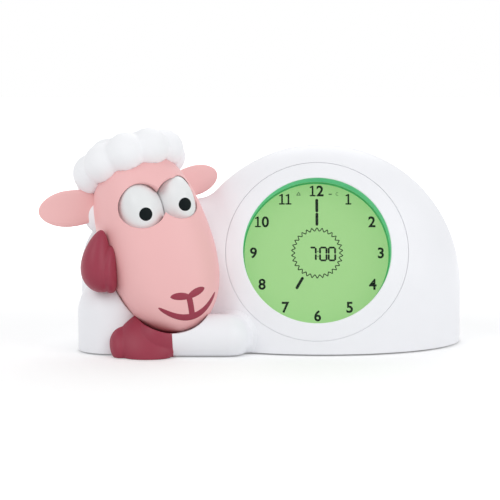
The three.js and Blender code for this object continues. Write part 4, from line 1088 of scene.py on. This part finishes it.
# Mode switch.
# A black slide with three ridges for the fingernail, on a plate that runs behind the slot.
switch_black = moulded("switch_black", srgb(44, 46, 50), 0.5, 0.1, 2200.0, 0.08)
ridge = np.array([1.5, 0.5, 0.28])
ridge_middles = [np.array([switch_x, panel_floor + 1.1, switch_z + rise]) for rise in (-1.1, 0.0, 1.1)]
blocks = [((switch_x - 3.2, flange_top - 1.2, switch_z - 3.2), (switch_x + 3.2, flange_top, switch_z + 3.2)),
          ((switch_x - 1.6, flange_top - 0.6, switch_z - 1.6),
           (switch_x + 1.6, panel_floor + 1.2, switch_z + 1.6))]
blocks += [(middle - ridge, middle + ridge) for middle in ridge_middles]
points, faces = joined([pillow(low, high) for low, high in blocks])
put_piece("mode_switch_skin", points, faces, switch_black, "mode_switch_body",
          "black_plastic", ["mode_switch"], smooth=60)


# Power inlet.
# A round black barrel socket for a plug-in adapter, with its steel pin in the middle of the bore.
socket_black = moulded("socket_black", srgb(38, 40, 43), 0.45, 0.05)
socket_low, socket_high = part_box("power_inlet")
inlet_face = socket_high[1] * 1000 - shift[1]
inlet_profile = [(radius, inlet_face - sunk) for radius, sunk in [
    (inlet_radius - 0.1, 11.95), (inlet_radius, 11.8), (inlet_radius, 0.35), (inlet_radius - 0.12, 0.1),
    (inlet_radius - 0.4, 0), (3.55, 0), (3.3, 0.12), (3.2, 0.4), (3.2, 9), (1.05, 9), (1.05, 0.8), (0.85, 0.45),
    (0.4, 0.32)]]
put_piece("power_inlet_skin", *turned_y(inlet_profile, inlet_x, inlet_z), socket_black, "housing",
          "black_plastic", ["power_inlet"], smooth=40)


# Pieces that keep their plain form: base plate, door, feet, screws, cells, boards and the eye drive.
# They sit under the clock or inside it; each gets the finish of the real part.
base_grey = moulded("base_grey", srgb(196, 199, 203), 0.55, 0.2)
foot_rubber = moulded("foot_rubber", srgb(204, 207, 211), 0.85, 0.3, 1200.0, 0.06)
board_green = moulded("board_green", srgb(47, 107, 63), 0.4, 0.1, 800.0, 0.1)
cell_wrap = moulded("cell_wrap", srgb(60, 70, 80), 0.3, 0.02)
cone_paper = moulded("cone_paper", srgb(42, 42, 44), 0.85, 0.5, 700.0, 0.15)
guide_acrylic = moulded("guide_acrylic", srgb(226, 240, 228), 0.2, 0.02)


def brushed_steel():
    """Zinc-plated steel: a metal with fine drawn streaks along Z in its gloss."""
    material, tree, surface, place = clouded("plated_steel", srgb(196, 199, 203), 60.0, 0.08)
    link(tree, ranged(tree, noise(tree, place, 900.0), 0.25, 0.42), surface.inputs["Roughness"])
    surface.inputs["Metallic"].default_value = 1.0
    return material


plated_steel = brushed_steel()
kept = {
    base_grey: ["base_plate", "battery_door", "battery_box", "eye_axle", "left_eye_bearing", "right_eye_bearing"],
    foot_rubber: ["left_front_foot", "left_rear_foot", "right_front_foot", "right_rear_foot"],
    plated_steel: ["case_screw_1", "case_screw_2", "case_screw_3", "case_screw_4", "contact_strip_left",
                   "contact_strip_right", "speaker_basket", "eye_motor"],
    board_green: ["main_board", "button_board", "backlight_board"],
    cell_wrap: ["cell_1", "cell_2", "cell_3"],
    cone_paper: ["speaker_cone"],
    guide_acrylic: ["light_guide"],
    white_abs: ["display_carrier"],
    window_material: ["display_window"],
    lcd_material: ["lcd_panel"],
}
for material, names in kept.items():
    for name in names:
        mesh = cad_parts[name].data
        mesh.materials.clear()
        mesh.materials.append(material)


# Floor.
# A plain white sweep. What the camera sees of it is lifted to white, and the clock's shadow stays.
def background_ray(tree):
    """1 for a ray from the camera, off a glossy surface or through glass, which shows the background."""
    rays = tree.nodes.new("ShaderNodeLightPath")
    seen = rays.outputs["Is Camera Ray"]
    for kind in ("Is Glossy Ray", "Is Transmission Ray"):
        either = tree.nodes.new("ShaderNodeMath")
        either.operation = "MAXIMUM"
        link(tree, seen, either.inputs[0])
        link(tree, rays.outputs[kind], either.inputs[1])
        seen = either.outputs[0]
    return seen


floor_mesh = bpy.data.meshes.new("floor")
floor_mesh.from_pydata([(-6, -6, 0), (6, -6, 0), (6, 6, 0), (-6, 6, 0)], [], [(0, 1, 2, 3)])
floor = bpy.data.objects.new("floor", floor_mesh)
bpy.context.scene.collection.objects.link(floor)
floor_white, floor_tree, floor_surface = new_material("floor_white")
floor_surface.inputs["Base Color"].default_value = (0.88, 0.885, 0.89, 1)
floor_surface.inputs["Roughness"].default_value = 0.9
glow = floor_tree.nodes.new("ShaderNodeEmission")
glow.inputs["Color"].default_value = (1, 1, 1, 1)
away = floor_tree.nodes.new("ShaderNodeVectorMath")
away.operation = "LENGTH"
link(floor_tree, floor_tree.nodes.new("ShaderNodeTexCoord").outputs["Object"], away.inputs[0])
lift = floor_tree.nodes.new("ShaderNodeMath")
lift.operation = "MULTIPLY"
link(floor_tree, background_ray(floor_tree), lift.inputs[0])
link(floor_tree, ranged(floor_tree, away.outputs["Value"], 0.18, 1.0, 0.2, 0.7), lift.inputs[1])
link(floor_tree, lift.outputs[0], glow.inputs["Strength"])
both = floor_tree.nodes.new("ShaderNodeAddShader")
link(floor_tree, floor_surface.outputs[0], both.inputs[0])
link(floor_tree, glow.outputs[0], both.inputs[1])
link(floor_tree, both.outputs[0], floor_tree.nodes["Material Output"].inputs["Surface"])
floor_mesh.materials.append(floor_white)


# Light.
# Three wide soft lamps, two in front and one behind that throws the shadow forward, in a white surrounding.
def soft_lamp(name, place, power):
    """A square lamp, a metre wide, that faces the clock."""
    data = bpy.data.lights.new(name, "AREA")
    data.size = 1.0
    data.energy = power
    lamp = bpy.data.objects.new(name, data)
    bpy.context.scene.collection.objects.link(lamp)
    lamp.location = place
    way = np.array([0, 0, 0.05]) - place
    lamp.rotation_euler = (math.atan2(math.hypot(way[0], way[1]), -way[2]), 0,
                           math.atan2(way[1], way[0]) - math.pi / 2)


soft_lamp("key", (-1.0, -0.95, 1.2), 6.3)
soft_lamp("fill", (1.2, -0.85, 0.75), 5.8)
soft_lamp("back", (0.1, 1.0, 1.2), 4.5)
world = bpy.data.worlds.new("surrounding")
bpy.context.scene.world = world
world.use_nodes = True
sky_tree = world.node_tree
sky = sky_tree.nodes["Background"]
sky.inputs["Color"].default_value = (1, 1, 1, 1)
link(sky_tree, ranged(sky_tree, background_ray(sky_tree), 0.62, 1.0), sky.inputs["Strength"])
bpy.context.scene.view_settings.view_transform = "Standard"
